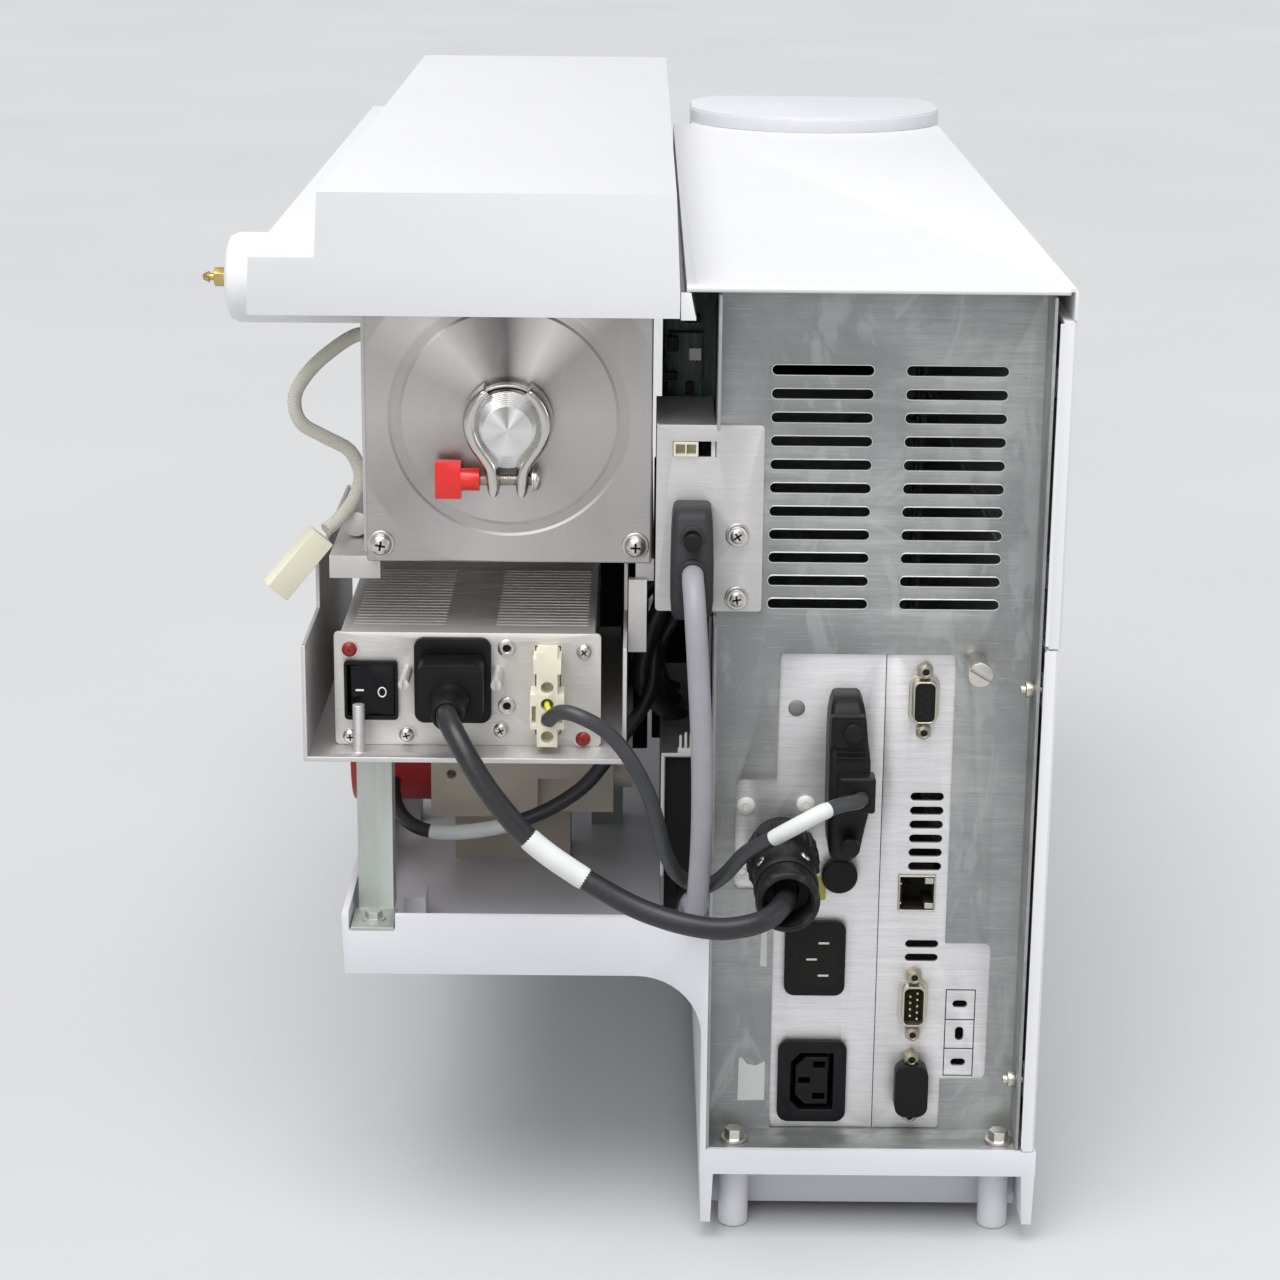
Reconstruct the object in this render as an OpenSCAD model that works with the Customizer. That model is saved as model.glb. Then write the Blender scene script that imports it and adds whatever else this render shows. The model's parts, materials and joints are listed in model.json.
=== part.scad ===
// Benchtop ion-trap mass spectrometer, seen from its service (rear) side along +Y.
// X runs to the right of that view, Y runs from the rear towards the front, Z is up.

/* [Electronics tower] */
// Left face of the tower, measured from the machine's datum plane
tower_x = 27; // [20:1:34]
// Outer width of the tower
tower_w = 136; // [134:1:150]
// Height of the tower's top cover
tower_h = 391.9; // [385:0.1:410]
// Length of the tower's top cover, up to the front fascia
tower_d = 545; // [520:5:580]
// Depth by which the rear panel is set back in the shell
recess_d = 21; // [19:1:26]
// Thickness of the folded sheet metal
sheet_t = 1.2; // [1:0.1:1.5]
// Depth of the down-turned side flanges of the top cover
cover_flange_h = 11.9; // [8:0.1:16]
// Height of the joint between the upper and the lower side panel
panel_joint_z = 252; // [200:1:300]
// Thickness of the skin of the side panels
panel_t = 1.6; // [1.2:0.1:2]

/* [Front fascia] */
// Depth of the front fascia
fascia_d = 76; // [60:2:90]
// Height by which its half-round top stands above the tower's cover
crown_h = 8; // [4:1:14]
// Radius of the half-round top
crown_r = 71; // [69:1:76]
// Radius of the fascia's upright front corners
fascia_r = 24; // [16:1:30]

/* [Base] */
// Height of the top edge of the tower's base
base_h = 40.5; // [38:0.5:46]
// Height of the rear rim of the tower's base
rim_h = 10.7; // [8:0.1:12]
// Height of the skirt's lower edge above the table
skirt_z = 8.5; // [6:0.5:12]
// Wall thickness of the moulded base
wall_t = 3; // [2.5:0.5:4]
// Height of the underside of the side shelf
shelf_z = 115.8; // [105:0.1:125]
// Height of the walls of the side shelf
shelf_h = 24.7; // [20:0.1:30]
// Width of the side shelf, left of the tower
shelf_w = 143; // [138:1:160]
// Length of the pedestal under the shelf's front end
pedestal_d = 110; // [80:5:150]
// Diameter of the round feet
foot_d = 12.2; // [10:0.1:15]

/* [Rear panel] */
// Length of one ventilation slot
slot_l = 39.3; // [34:0.1:42]
// Height of one ventilation slot
slot_h = 4.2; // [3:0.1:5]
// Pitch of the ventilation slots
slot_pitch = 9.25; // [8:0.05:9.4]
// Number of ventilation slots in a column
slot_rows = 11; // [6:1:11]
// Drop from the rear sheet's top edge to the top slots
slot_drop = 34.2; // [28:0.1:60]
// Thickness of the two connector plates
plate_t = 1.5; // [1:0.1:2]

/* [Manifold cover] */
// Height of the top of the manifold cover
cover_h = 425.5; // [420:0.5:440]
// Height of the cover's lower edge
cover_z = 379.4; // [376:0.2:382]
// Width of the tall part of the cover
cover_w = 133; // [128:1:134]
// Width of the lower shelf at the cover's left side
cover_step_w = 26; // [20:1:32]
// Height of that shelf above the cover's lower edge
cover_step_h = 21.6; // [16:0.2:26]
// Length of the cover
cover_d = 572; // [540:2:590]
// Wall thickness of the cover
cover_t = 2.5; // [2:0.1:3]

/* [Vacuum manifold] */
// Width and height of the end plate
block_w = 110.6; // [108:0.2:114]
// Height of the underside of the manifold
block_z = 279.5; // [278:0.5:284]
// Thickness of the end plate
end_plate_t = 14; // [10:1:18]
// Length of the vacuum chamber behind the end plate
chamber_d = 250; // [220:5:280]
// Diameter of the chamber's bore
chamber_bore = 88; // [80:1:92]
// Radius of the turned ring in the end plate
ring_r = 48; // [44:0.5:49]
// Diameter of the blank flange on the port
flange_d = 30; // [28:0.5:32]

/* [Power supply] */
// Height of the floor of the tray
tray_z = 206.2; // [203:0.2:208]
// Width of the tray, outside
tray_w = 125.5; // [124:0.5:127]
// Length of the tray
tray_d = 190; // [175:5:200]
// Thickness of the tray's sheet
tray_t = 2; // [1.5:0.1:2.5]
// Width of the supply's front plate
psu_w = 104.3; // [103:0.1:108]
// Height of the supply
psu_h = 46; // [45:0.5:50]
// Length of the supply
psu_d = 160; // [140:5:165]
// Tilt of the rocker from its middle to either side
rocker_tilt = 8; // [5:1:12]

/* [Pump] */
// Diameter of the turbo pump
pump_d = 52; // [62:1:70]
// Length of the pump's red housing
pump_red_l = 34; // [28:1:38]
// Diameter of the damper can
can_d = 37; // [34:0.5:40]
// Diameter of the cooling fan's opening
fan_d = 84; // [76:1:86]

/* [Cables] */
// Diameter of the mains lead to the supply
power_cable_d = 8.4; // [7:0.1:9]
// Diameter of the signal cable
signal_cable_d = 6; // [5:0.1:7]
// Diameter of the pump's control cable
pump_cable_d = 8.4; // [7:0.1:10]
// Diameter of the cable under the tray
inner_cable_d = 6; // [5:0.1:6.5]
// Diameter of the heater cable
heater_cable_d = 5.6; // [5:0.1:6]

/* [Hidden] */
$fn = 48;

// clearances: a fit that stays put, a moving fit, and a hair between sheets
gap = 0.3;
run = 0.05;
eps = 0.01;

// planes of the tower
shell_y = -recess_d;
tower_x1 = tower_x + tower_w;
tower_y1 = shell_y + tower_d;
front_y = tower_y1 + fascia_d;
cove_r = 26.3;
post_x = -111;
post_w = 14;
deck_z = base_h - sheet_t;
web_t = 2.4;
sheet_x0 = tower_x + web_t;
sheet_x1 = tower_x1 - 7.2;
sheet_top = tower_h - sheet_t;
slot_z = sheet_top - slot_drop;
plate_y = sheet_t;
crown_z = tower_h + crown_h;
crown_y = tower_y1 + 31;
crown_x = (tower_x + tower_x1) / 2;

// planes of the shelf and the tray
shelf_x = tower_x - shelf_w;
shelf_top = shelf_z + shelf_h;
shelf_y1 = front_y - fascia_r;
shelf_l = shelf_y1 - shell_y;
notch_z = shelf_z + 18.2;
psu_y = -5;
rear_y = psu_y - 20;
psu_z = tray_z + gap / 3;
tray_x = -129.5;
tray_x1 = tray_x + tray_w;
psu_x = -118.5;
rail_z = block_z - 9;

// vacuum manifold
block_x = tower_x - 21.9 - block_w;
block_x1 = block_x + block_w;
block_mid = (block_x + block_x1) / 2;
port_x = block_mid;
port_z = block_z + 54.6;
chamber_y = end_plate_t;
flange_y = -13;
clamp_y = -8;
bolt_z = port_z - 19.8;

// bracket for the pump's connector
bracket_x = 6.7;
bracket_z = panel_joint_z + 9;
bracket_w = 41.4;
bracket_h = 74;

// pump under the tray
pump_y = 96;
pump_z = tray_z - tray_t - pump_d / 2 - 2;
pump_x = -120.5;
pump_block_x1 = -9.7;
pump_foot_y = pump_y + 8;

// damper can beside the chamber
can_y = 100;
can_z = cover_z - 5.4;
can_x = -170;
barb_l = 10.4;

// the part's own origin: the middle of its footprint, on the table
mid_x = (can_x - barb_l + tower_x1) / 2;
mid_y = (rear_y + front_y) / 2;

module place() {
    translate([-mid_x, -mid_y, 0]) children();
}

// an X-Z outline made l thick along Y, from y
module rear_shape(y, l) {
    translate([0, y + l, 0]) rotate([90, 0, 0]) linear_extrude(l) children();
}

// a Y-Z outline made l thick along X, from x
module side_shape(x, l) {
    translate([x, 0, 0]) rotate([90, 0, 90]) linear_extrude(l) children();
}

module rod_x(d, x, l, y, z) {
    translate([x, y, z]) rotate([0, 90, 0]) cylinder(d = d, h = l);
}

module rod_y(d, y, l, x, z) {
    translate([x, y + l, z]) rotate([90, 0, 0]) cylinder(d = d, h = l);
}

module rod_z(d, z, l, x, y) {
    translate([x, y, z]) cylinder(d = d, h = l);
}

// a revolved outline of [radius, height] points, standing on a point and facing -Y
module turned_y(x, y, z) {
    translate([x, y, z]) rotate([90, 0, 0]) rotate_extrude() children();
}

// a round-cornered rectangle from its lower left corner
module rrect(x, z, w, h, r) {
    translate([x, z]) {
        translate([r, 0]) square([w - 2 * r, h]);
        translate([0, r]) square([w, h - 2 * r]);
        for (cx = [r, w - r], cz = [r, h - r]) translate([cx, cz]) circle(r);
    }
}

// a slot with round ends about its middle
module slot(x, z, l, h) {
    translate([x, z]) {
        square([l - h, h], center = true);
        for (s = [-1, 1]) translate([s * (l - h) / 2, 0]) circle(d = h);
    }
}

// the D outline of a sub-miniature connector, wide side to the left
module d_outline(x, z, w, h, r) {
    translate([x, z]) {
        translate([-w / 2, -h / 2 + r]) square([w, h - 2 * r]);
        translate([-w / 2 + r, -h / 2]) square([w - 2 * r, h]);
        for (sx = [-1, 1], sz = [-1, 1])
            translate([sx * (w / 2 - r), sz * (h / 2 - r)]) circle(r);
    }
}

function unit(v) = v / norm(v);
function mid_dir(pts, i) =
    unit(pts[min(i + 1, len(pts) - 1)] - pts[max(i - 1, 0)]);
function side_dir(d) = unit(cross(d, abs(d[2]) > 0.9 ? [0, 1, 0] : [0, 0, 1]));
// each ring's first direction follows the last one, so the tube doesn't twist
function frames(pts, i = 0, last = undef) =
    let (d = mid_dir(pts, i),
         s = i == 0 ? side_dir(d) : unit(last - (last * d) * d))
    i == len(pts) - 1 ? [[d, s]] : concat([[d, s]], frames(pts, i + 1, s));

// a cable swept along a route, with sides corners round it
module cable(route, d, sides = 8) {
    f = frames(route);
    n = len(route);
    points = [
        for (i = [0 : n - 1], k = [0 : sides - 1])
            let (a = 360 * k / sides, u = f[i][1], v = cross(f[i][0], u))
            route[i] + d / 2 * (cos(a) * u + sin(a) * v)
    ];
    walls = [
        for (i = [0 : n - 2], k = [0 : sides - 1])
            let (a = i * sides + k, b = i * sides + (k + 1) % sides)
            [a, a + sides, b + sides, b]
    ];
    first = [[for (k = [0 : sides - 1]) k]];
    last = [[for (k = [sides - 1 : -1 : 0]) (n - 1) * sides + k]];
    polyhedron(points, concat(walls, first, last));
}

// ---------------------------------------------------------------- tower shell

// the moulded base: tray under the tower, side shelf and front pedestal
module skirt() {
    polygon([[0, base_h], [web_t, base_h], [web_t, deck_z], [5.5, deck_z], [5.5, base_h - rim_h],
             [4.6, skirt_z], [0.7, skirt_z]]);
}
module base() place() color("whitesmoke") {
    // deck under the tower, with its rear rim, tapered skirts and rounded front
    translate([tower_x, shell_y, deck_z - wall_t]) cube([tower_w, tower_d + eps, wall_t]);
    translate([tower_x, shell_y, base_h - rim_h]) cube([tower_w, web_t, rim_h]);
    rear_shape(shell_y, tower_d + eps) {
        translate([tower_x, 0]) skirt();
        translate([tower_x1, 0]) mirror([1, 0]) skirt();
    }
    translate([0, 0, skirt_z]) linear_extrude(base_h - skirt_z) difference() {
        fascia_plan(0);
        fascia_plan(wall_t);
        translate([tower_x + wall_t, tower_y1 - 1]) square([tower_w - 2 * wall_t, 2]);
    }
    translate([0, 0, deck_z - wall_t]) linear_extrude(wall_t) fascia_plan(1);
    // plinth behind the rear feet
    translate([tower_x + 5, 6, skirt_z - 4]) cube([tower_w - 10, 2.4, deck_z - skirt_z + 2]);
    // web between the tower and the shelf, then the shelf's floor and side wall
    translate([tower_x, shell_y, deck_z - 1]) cube([web_t, tower_d - gap, shelf_top - deck_z + 1]);
    translate([shelf_x + 1, shell_y, shelf_z]) cube([shelf_w - 1 + eps, shelf_l, wall_t]);
    rear_shape(shell_y, shelf_l)
        polygon([[shelf_x, shelf_top], [shelf_x + 1, shelf_z], [shelf_x + 4, shelf_z],
                 [shelf_x + 2.5, shelf_top]]);
    rear_shape(shell_y, wall_t) difference() {
        union() {
            polygon([[shelf_x, shelf_top], [shelf_x + 1, shelf_z], [tower_x + 1, shelf_z],
                     [tower_x + 1, shelf_top]]);
            translate([tower_x - cove_r, shelf_z - cove_r]) square([cove_r + 1, cove_r + 1]);
        }
        translate([tower_x - cove_r, shelf_z - cove_r]) circle(cove_r);
        translate([post_x - 2.2, notch_z]) square([post_w + 4.4, shelf_h]);
    }
    // bosses under the post's foot and beside it
    translate([post_x - 1, shell_y + 1, shelf_z + 1])
        cube([post_w + 2, recess_d - 1 - gap, notch_z - shelf_z - 1]);
    translate([post_x + post_w + 2, 24, shelf_z + 1]) cube([9, 16, 14]);
    // front wall and the pedestal that carries the shelf's front end
    difference() {
        translate([shelf_x + 1, shelf_y1 - pedestal_d, skirt_z]) {
            difference() {
                cube([shelf_w - 1 + eps, pedestal_d, shelf_z - skirt_z + 1]);
                translate([wall_t, wall_t, wall_t])
                    cube([shelf_w - 1 - 2 * wall_t, pedestal_d - 2 * wall_t, shelf_z]);
            }
            translate([0, pedestal_d - wall_t, 0]) cube([shelf_w - 1 + eps, wall_t, shelf_top - skirt_z]);
        }
        // clearance to the fascia
        translate([tower_x - gap, tower_y1 - gap, base_h]) cube([1, pedestal_d, shelf_top]);
    }
}

foot_dx = 14.5;
front_foot_y = front_y - 34;
module base_feet() place() color("whitesmoke") {
    foot_top = deck_z - wall_t;
    for (x = [tower_x + foot_dx, tower_x1 - foot_dx], y = [-3.4, front_foot_y]) {
        rod_z(foot_d, 0.8, foot_top - 0.8, x, y);
        translate([x, y, 0]) cylinder(d1 = foot_d - 1.6, d2 = foot_d, h = 0.8);
    }
    for (y = [shelf_y1 - 20, shelf_y1 - pedestal_d + 20])
        rod_z(foot_d, 0, skirt_z, shelf_x + 20, y);
}

// connector cut-outs of the rear panel
cut_top = 243.6;
seam_x = 98;
module mains_cut() {
    rrect(55.8, deck_z + 1, seam_x - 55.8 + 2, cut_top - deck_z - 1, 1.5);
    rrect(round_x - 18.5, round_z - 18.5, 40, 46.5, 2.5);
}
module interface_cut() {
    rrect(seam_x - 2, deck_z + 1, 29.3, cut_top - deck_z - 1, 1.5);
    rrect(seam_x - 2, 63, 47.8, 59.5, 3);
}
slot_cols = [70, 121.4];
captive_x = 132.6;
captive_z = 241.4;
bolt_x = [tower_x + 14.2, tower_x1 - 14.2];
bolt_y = shell_y / 2;

module rear_chassis() place() color("darkseagreen") {
    rear_shape(0, sheet_t) difference() {
        translate([sheet_x0, deck_z]) square([sheet_x1 - sheet_x0, sheet_top - deck_z]);
        for (x = slot_cols, i = [0 : slot_rows - 1])
            slot(x, slot_z - i * slot_pitch, slot_l, slot_h);
        mains_cut();
        interface_cut();
        translate([captive_x, captive_z]) circle(d = 5.2);
    }
    // bottom lip with its bolt holes
    difference() {
        translate([sheet_x0, shell_y + web_t, deck_z])
            cube([sheet_x1 - sheet_x0, recess_d - web_t + eps, sheet_t]);
        for (x = bolt_x) rod_z(6.6, deck_z - 1, 4, x, bolt_y);
    }
    // side flanges towards the rear edge, notched for the bracket and holed for the studs
    difference() {
        for (x = [sheet_x0, sheet_x1 - sheet_t])
            translate([x, shell_y + 1.6, deck_z])
                cube([sheet_t, recess_d - 1.6 + eps, sheet_top - deck_z - 2.5]);
        translate([sheet_x0 - 1, shell_y, bracket_z - 1.5])
            cube([sheet_t + 2, recess_d, bracket_h + 3]);
        for (z = low_studs) rod_x(3.4, sheet_x1 - 4, 6, stud_y, z);
    }
    // top flange under the cover
    translate([sheet_x0 + 1, 0, sheet_top - sheet_t])
        cube([sheet_x1 - sheet_x0 - 2, 22, sheet_t]);
}

// frame inside the tower: floor, left wall, front bulkhead, right uprights and the duct
duct_x = 10.4;
duct_top = 195;
duct_y = 20;
wall_y = 64;
fan_x = 92;
fan_z = tower_h - 91.9;
module inner_chassis() place() color("darkseagreen") {
    translate([sheet_x0, plate_y, deck_z])
        cube([sheet_x1 - sheet_x0, tower_y1 - plate_y - gap, sheet_t]);
    translate([sheet_x0, wall_y, deck_z])
        cube([sheet_t, tower_y1 - wall_y - gap, sheet_top - deck_z]);
    rear_shape(tower_y1 - gap - sheet_t, sheet_t) difference() {
        translate([sheet_x0, deck_z]) square([sheet_x1 - sheet_x0, sheet_top - deck_z]);
        translate([fan_x, fan_z]) circle(d = fan_d + 2);
    }
    difference() {
        for (y = [plate_y, tower_y1 - 14 - gap])
            translate([sheet_x1 - sheet_t, y, deck_z])
                cube([sheet_t, 14, sheet_top - deck_z - sheet_t]);
        for (z = concat(low_studs, high_studs)) rod_x(3.4, sheet_x1 - 4, 6, front_stud_y, z);
        for (z = high_studs) rod_x(3.4, sheet_x1 - 4, 6, high_stud_y, z);
    }
    translate([sheet_x0, wall_y, sheet_top - sheet_t]) cube([14, 14, sheet_t]);
    // duct for the cables, open at the rear and against the base's web
    translate([duct_x, duct_y, shelf_z + wall_t])
        cube([sheet_t, 130, duct_top - shelf_z - wall_t]);
    translate([duct_x, duct_y, duct_top - sheet_t]) cube([sheet_x0 - duct_x + 1, 130, sheet_t]);
    translate([sheet_x0 - sheet_t, duct_y, shelf_top]) cube([sheet_t, 130, duct_top - shelf_top]);
}

hem_r = 1.3;
module top_cover() place() color("white") {
    translate([tower_x - 8, shell_y + hem_r, tower_h - sheet_t])
        cube([tower_w + 8 - 1, tower_d - hem_r, sheet_t]);
    // rolled rear hem
    rod_x(2 * hem_r, tower_x - 9.8, tower_w + 7, shell_y + hem_r, tower_h - hem_r);
    // right flange
    rear_shape(shell_y, tower_d) {
        translate([tower_x1 - 1 - eps, tower_h - 1]) intersection() {
            circle(1);
            square(2);
        }
        translate([tower_x1 - 1.2, tower_h - cover_flange_h]) square([1.2, cover_flange_h - 1]);
        translate([tower_x1 - 3, tower_h - sheet_t]) square([2, sheet_t]);
    }
    // joggled left flange and its end tab
    rear_shape(shell_y + 1, tower_d - 1) {
        translate([tower_x - 9.8, tower_h - cover_flange_h])
            square([sheet_t, cover_flange_h]);
        translate([tower_x - 11.9, tower_h - cover_flange_h - sheet_t]) square([5.7, sheet_t]);
        translate([tower_x - 9.8, tower_h - sheet_t]) square([4, sheet_t]);
    }
    rear_shape(shell_y, 1.2)
        polygon([[tower_x - 11.9, tower_h - 2.8], [tower_x - 8.2, tower_h - 2.8],
                 [tower_x - 6.2, tower_h - cover_flange_h - sheet_t],
                 [tower_x - 11.9, tower_h - cover_flange_h - sheet_t]]);
}

// a side panel: skin with returned rear, front, upper and lower edges
return_w = 4.8;
stud_y = -10.5;
high_stud_y = 8;
front_stud_y = tower_y1 - 8;
low_studs = [base_h + 27.5, panel_joint_z - 19];
panel_top = tower_h - cover_flange_h - gap;
high_studs = [panel_joint_z + 24, panel_top - 27.7];
low_panel_x = tower_x1 - 0.8;
// the sockets' [y, z] places
function spots(y, zs) = concat([for (z = zs) [y, z]], [for (z = zs) [front_stud_y, z]]);
module side_panel(z0, z1, x1, sockets) {
    l = tower_d - gap;
    difference() {
        translate([x1 - return_w, shell_y, z0]) cube([return_w, l, z1 - z0]);
        translate([x1 - return_w - 1, shell_y + 2, z0 + 2])
            cube([return_w + 1 - panel_t, l - 4, z1 - z0 - 4]);
        // eased rear edge
        translate([x1, shell_y, (z0 + z1) / 2]) rotate(45)
            cube([1.4, 1.4, 2 * (z1 - z0)], center = true);
    }
    // sockets for the ball studs
    for (p = sockets) difference() {
        translate([x1 - return_w, p[0] - 4.5, p[1] - 6]) cube([return_w - panel_t + eps, 9, 12]);
        rod_x(ball_d + 2 * ball_run, x1 - return_w - 1, return_w + 1 - panel_t, p[0], p[1]);
    }
}
ball_d = 5;
ball_run = 0.1;
module side_panel_upper() place() color("white")
    side_panel(panel_joint_z + 0.4, panel_top, tower_x1, spots(high_stud_y, high_studs));
module side_panel_lower() place() color("white")
    side_panel(base_h + gap, panel_joint_z - 0.4, low_panel_x, spots(stud_y, low_studs));

module fascia_plan(inset) {
    x0 = tower_x + inset;
    x1 = tower_x1 - inset;
    y1 = front_y - inset;
    r = fascia_r - inset;
    translate([x0, tower_y1]) square([x1 - x0, y1 - tower_y1 - r]);
    translate([x0 + r, y1 - r - eps]) square([x1 - x0 - 2 * r, r + eps]);
    for (x = [x0 + r, x1 - r]) translate([x, y1 - r]) circle(r);
}
module crown_plan() {
    intersection() {
        union() {
            translate([crown_x, crown_y]) circle(crown_r, $fn = 96);
            translate([tower_x, crown_y]) square([tower_w, fascia_d]);
        }
        union() {
            fascia_plan(0);
            translate([tower_x, tower_y1 - crown_r]) square([tower_w, crown_r + eps]);
        }
    }
}
module front_fascia() place() color("white") {
    difference() {
        translate([0, 0, base_h]) linear_extrude(tower_h - base_h) fascia_plan(0);
        translate([0, 0, base_h - 1]) linear_extrude(tower_h - base_h + 1 - wall_t) union() {
            fascia_plan(wall_t);
            translate([tower_x + wall_t, tower_y1 - 1]) square([tower_w - 2 * wall_t, 2]);
        }
    }
    // crown, which laps over the rear cover
    translate([0, 0, tower_h]) linear_extrude(crown_h - 1) crown_plan();
    translate([0, 0, crown_z - 1 - eps]) linear_extrude(1 + eps) intersection() {
        crown_plan();
        translate([crown_x, crown_y]) circle(crown_r - 0.8, $fn = 96);
    }
}

// ------------------------------------------------------- connector plates and their parts

inlet_x = 72.8;
inlet_z = 115.6;
inlet_w = 24.6;
inlet_h = 32.1;
outlet_z = 61.9;
outlet_w = 28;
outlet_h = 35.7;
fuse_x = 81.7;
fuse_z = 151.6;
fuse_d = 14.4;
round_x = 58;
round_z = 163.5;
hood_x = 84;
hood_z = 195;
remote_z = 225.1;
serial_z = [96.4, 60.4];
dsub_x = 113.1;
screw_dz = 12.5;
lan_z = 143.7;
plate_z = deck_z + sheet_t + gap;
plate_h = cut_top + 6 - plate_z;

module mains_plate() place() color("silver") rear_shape(plate_y, plate_t) difference() {
    translate([34, plate_z]) square([seam_x - 34 - 0.15, plate_h]);
    rrect(inlet_x - inlet_w / 2 + 1.5, inlet_z - inlet_h / 2 + 1.5, inlet_w - 3, inlet_h - 3, 2.5);
    rrect(inlet_x - outlet_w / 2 + 1.5, outlet_z - outlet_h / 2 + 1.5, outlet_w - 3, outlet_h - 3, 2.5);
    translate([fuse_x, fuse_z]) circle(d = fuse_shaft_d + 2 * run);
    translate([round_x, round_z]) circle(d = 20);
    d_outline(hood_x, hood_z, 9.4, 39.4, 3);
}

module interface_plate() place() color("silver") rear_shape(plate_y, plate_t) difference() {
    translate([seam_x + 0.15, plate_z]) square([sheet_x1 - 5.8 - seam_x, plate_h]);
    for (z = concat([remote_z], serial_z)) d_outline(dsub_x, z, 9.4, 17.4, 2.6);
    for (i = [0 : 5]) slot(115.9, 184.4 - 5.9 * i, 13.3, 3.5);
    for (i = [0 : 1]) slot(115.9, 121.6 - 5.9 * i, 13.3, 3.3);
    translate([dsub_x - 7.5, lan_z - 7.7]) square([15, 15.4]);
    translate([captive_x, captive_z]) circle(d = 5.2);
    slot(132.3, 95.6, 6, 3.2);
    slot(132.4, 70, 6, 3.2);
    translate([132.5, 82.6]) rotate(90) slot(0, 0, 6, 3.4);
}

// an appliance socket set on its side: flange, body and a recess with its earth side at the left
module socket_body(x, z, w, h, y, cav_w, cav_h, deep) {
    difference() {
        union() {
            rear_shape(y - 2.6, 2.6) rrect(x - w / 2, z - h / 2, w, h, 4.5);
            rear_shape(y - eps, deep) rrect(x - w / 2 + 1.6, z - h / 2 + 1.6, w - 3.2, h - 3.2, 2.4);
        }
        rear_shape(y - 3, deep + 1) polygon([
            [x - cav_w / 2 + 4, z - cav_h / 2], [x + cav_w / 2, z - cav_h / 2],
            [x + cav_w / 2, z + cav_h / 2], [x - cav_w / 2 + 4, z + cav_h / 2],
            [x - cav_w / 2, z + cav_h / 2 - 4], [x - cav_w / 2, z - cav_h / 2 + 4]
        ]);
    }
}
// its three blades: live and neutral at the right, earth at the left
blade_w = 4;
blade_t = 2;
module blades(x, z, y, l, grow) {
    for (p = [[3.4, 7], [3.4, -7], [-2.6, 0]])
        translate([x + p[0] - blade_w / 2 - grow, y, z + p[1] - blade_t / 2 - grow])
            cube([blade_w + 2 * grow, l, blade_t + 2 * grow]);
}

module mains_inlet() place() color("black") {
    socket_body(inlet_x, inlet_z, inlet_w, inlet_h, plate_y, 16.4, 24, 19);
    blades(inlet_x, inlet_z, plate_y + 1, 17, 0);
}

module pump_outlet() place() color("black") {
    difference() {
        socket_body(inlet_x, outlet_z, outlet_w, outlet_h, plate_y, 17.4, 25, 18);
    }
    // middle body with the three slots
    difference() {
        rear_shape(plate_y - 1.6, 18) polygon([
            [inlet_x - 2.8, outlet_z - 10.4], [inlet_x + 6.6, outlet_z - 10.4],
            [inlet_x + 6.6, outlet_z + 10.4], [inlet_x - 2.8, outlet_z + 10.4],
            [inlet_x - 6.6, outlet_z + 6.6], [inlet_x - 6.6, outlet_z - 6.6]
        ]);
        blades(inlet_x - 0.4, outlet_z, plate_y - 3, 15, 0.4);
    }
}

// fuse holder's cap, turned by its slot
fuse_shaft_d = 12;
module fuse_cap() place() color("black") difference() {
    union() {
        rod_y(fuse_d, plate_y - 4.4, 4.4 - run, fuse_x, fuse_z);
        rod_y(fuse_shaft_d, plate_y - 1, 10, fuse_x, fuse_z);
    }
    translate([fuse_x - 5, plate_y - 5, fuse_z - 0.7]) cube([10, 1.6, 1.4]);
}

// a nine-way connector: flared shell through the plate, insert and jack screws
module dsub(x, z, y, male) {
    difference() {
        union() {
            rear_shape(y - 1, 1) d_outline(x, z, 11.8, 19.4, 3.8);
            rear_shape(y - 5.6, 5) d_outline(x, z, 9.2, 17.2, 2.8);
            rear_shape(y - eps, 6) d_outline(x, z, 9, 17, 2.5);
        }
        rear_shape(y - 6, male ? 5.6 : 1.2) d_outline(x, z, 7.8, 15.8, 2.2);
    }
    for (s = [-1, 1]) translate([x, y, z + s * screw_dz]) rotate([90, 0, 0]) difference() {
        cylinder(d = 5.2, h = 5);
        translate([0, 0, 2.6]) cylinder(d = 2.8, h = 3);
    }
    if (male) for (i = [0 : 4]) rod_y(1, y - 4.6, 4.8, x + 1.42, z + (i - 2) * 2.76);
    if (male) for (i = [0 : 3]) rod_y(1, y - 4.6, 4.8, x - 1.42, z + (i - 1.5) * 2.76);
}
module remote_port() place() color("silver") dsub(dsub_x, remote_z, plate_y, false);
module serial_ports() place() color("silver") for (z = serial_z) dsub(dsub_x, z, plate_y, true);

// dust cap drawn off the lower connector
module dust_cap() place() color("black") difference() {
    rear_shape(plate_y - 9, 7.8) d_outline(dsub_x, serial_z[1], 13.4, 22.2, 4.6);
    rear_shape(plate_y - 7.6, 8) d_outline(dsub_x, serial_z[1], 9.5, 17.5, 2.9);
    for (s = [-1, 1]) rod_y(6, plate_y - 6, 8, dsub_x, serial_z[1] + s * screw_dz);
}

module lan_jack() place() color("silver") difference() {
    translate([dsub_x - 7.4, plate_y - 1.2, lan_z - 7.6]) cube([14.8, 17, 15.2]);
    translate([dsub_x - 5, plate_y - 2, lan_z - 5.9]) cube([7.4, 14, 11.8]);
    translate([dsub_x + 2, plate_y - 2, lan_z - 3.2]) cube([2.4, 14, 6.4]);
}

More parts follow.
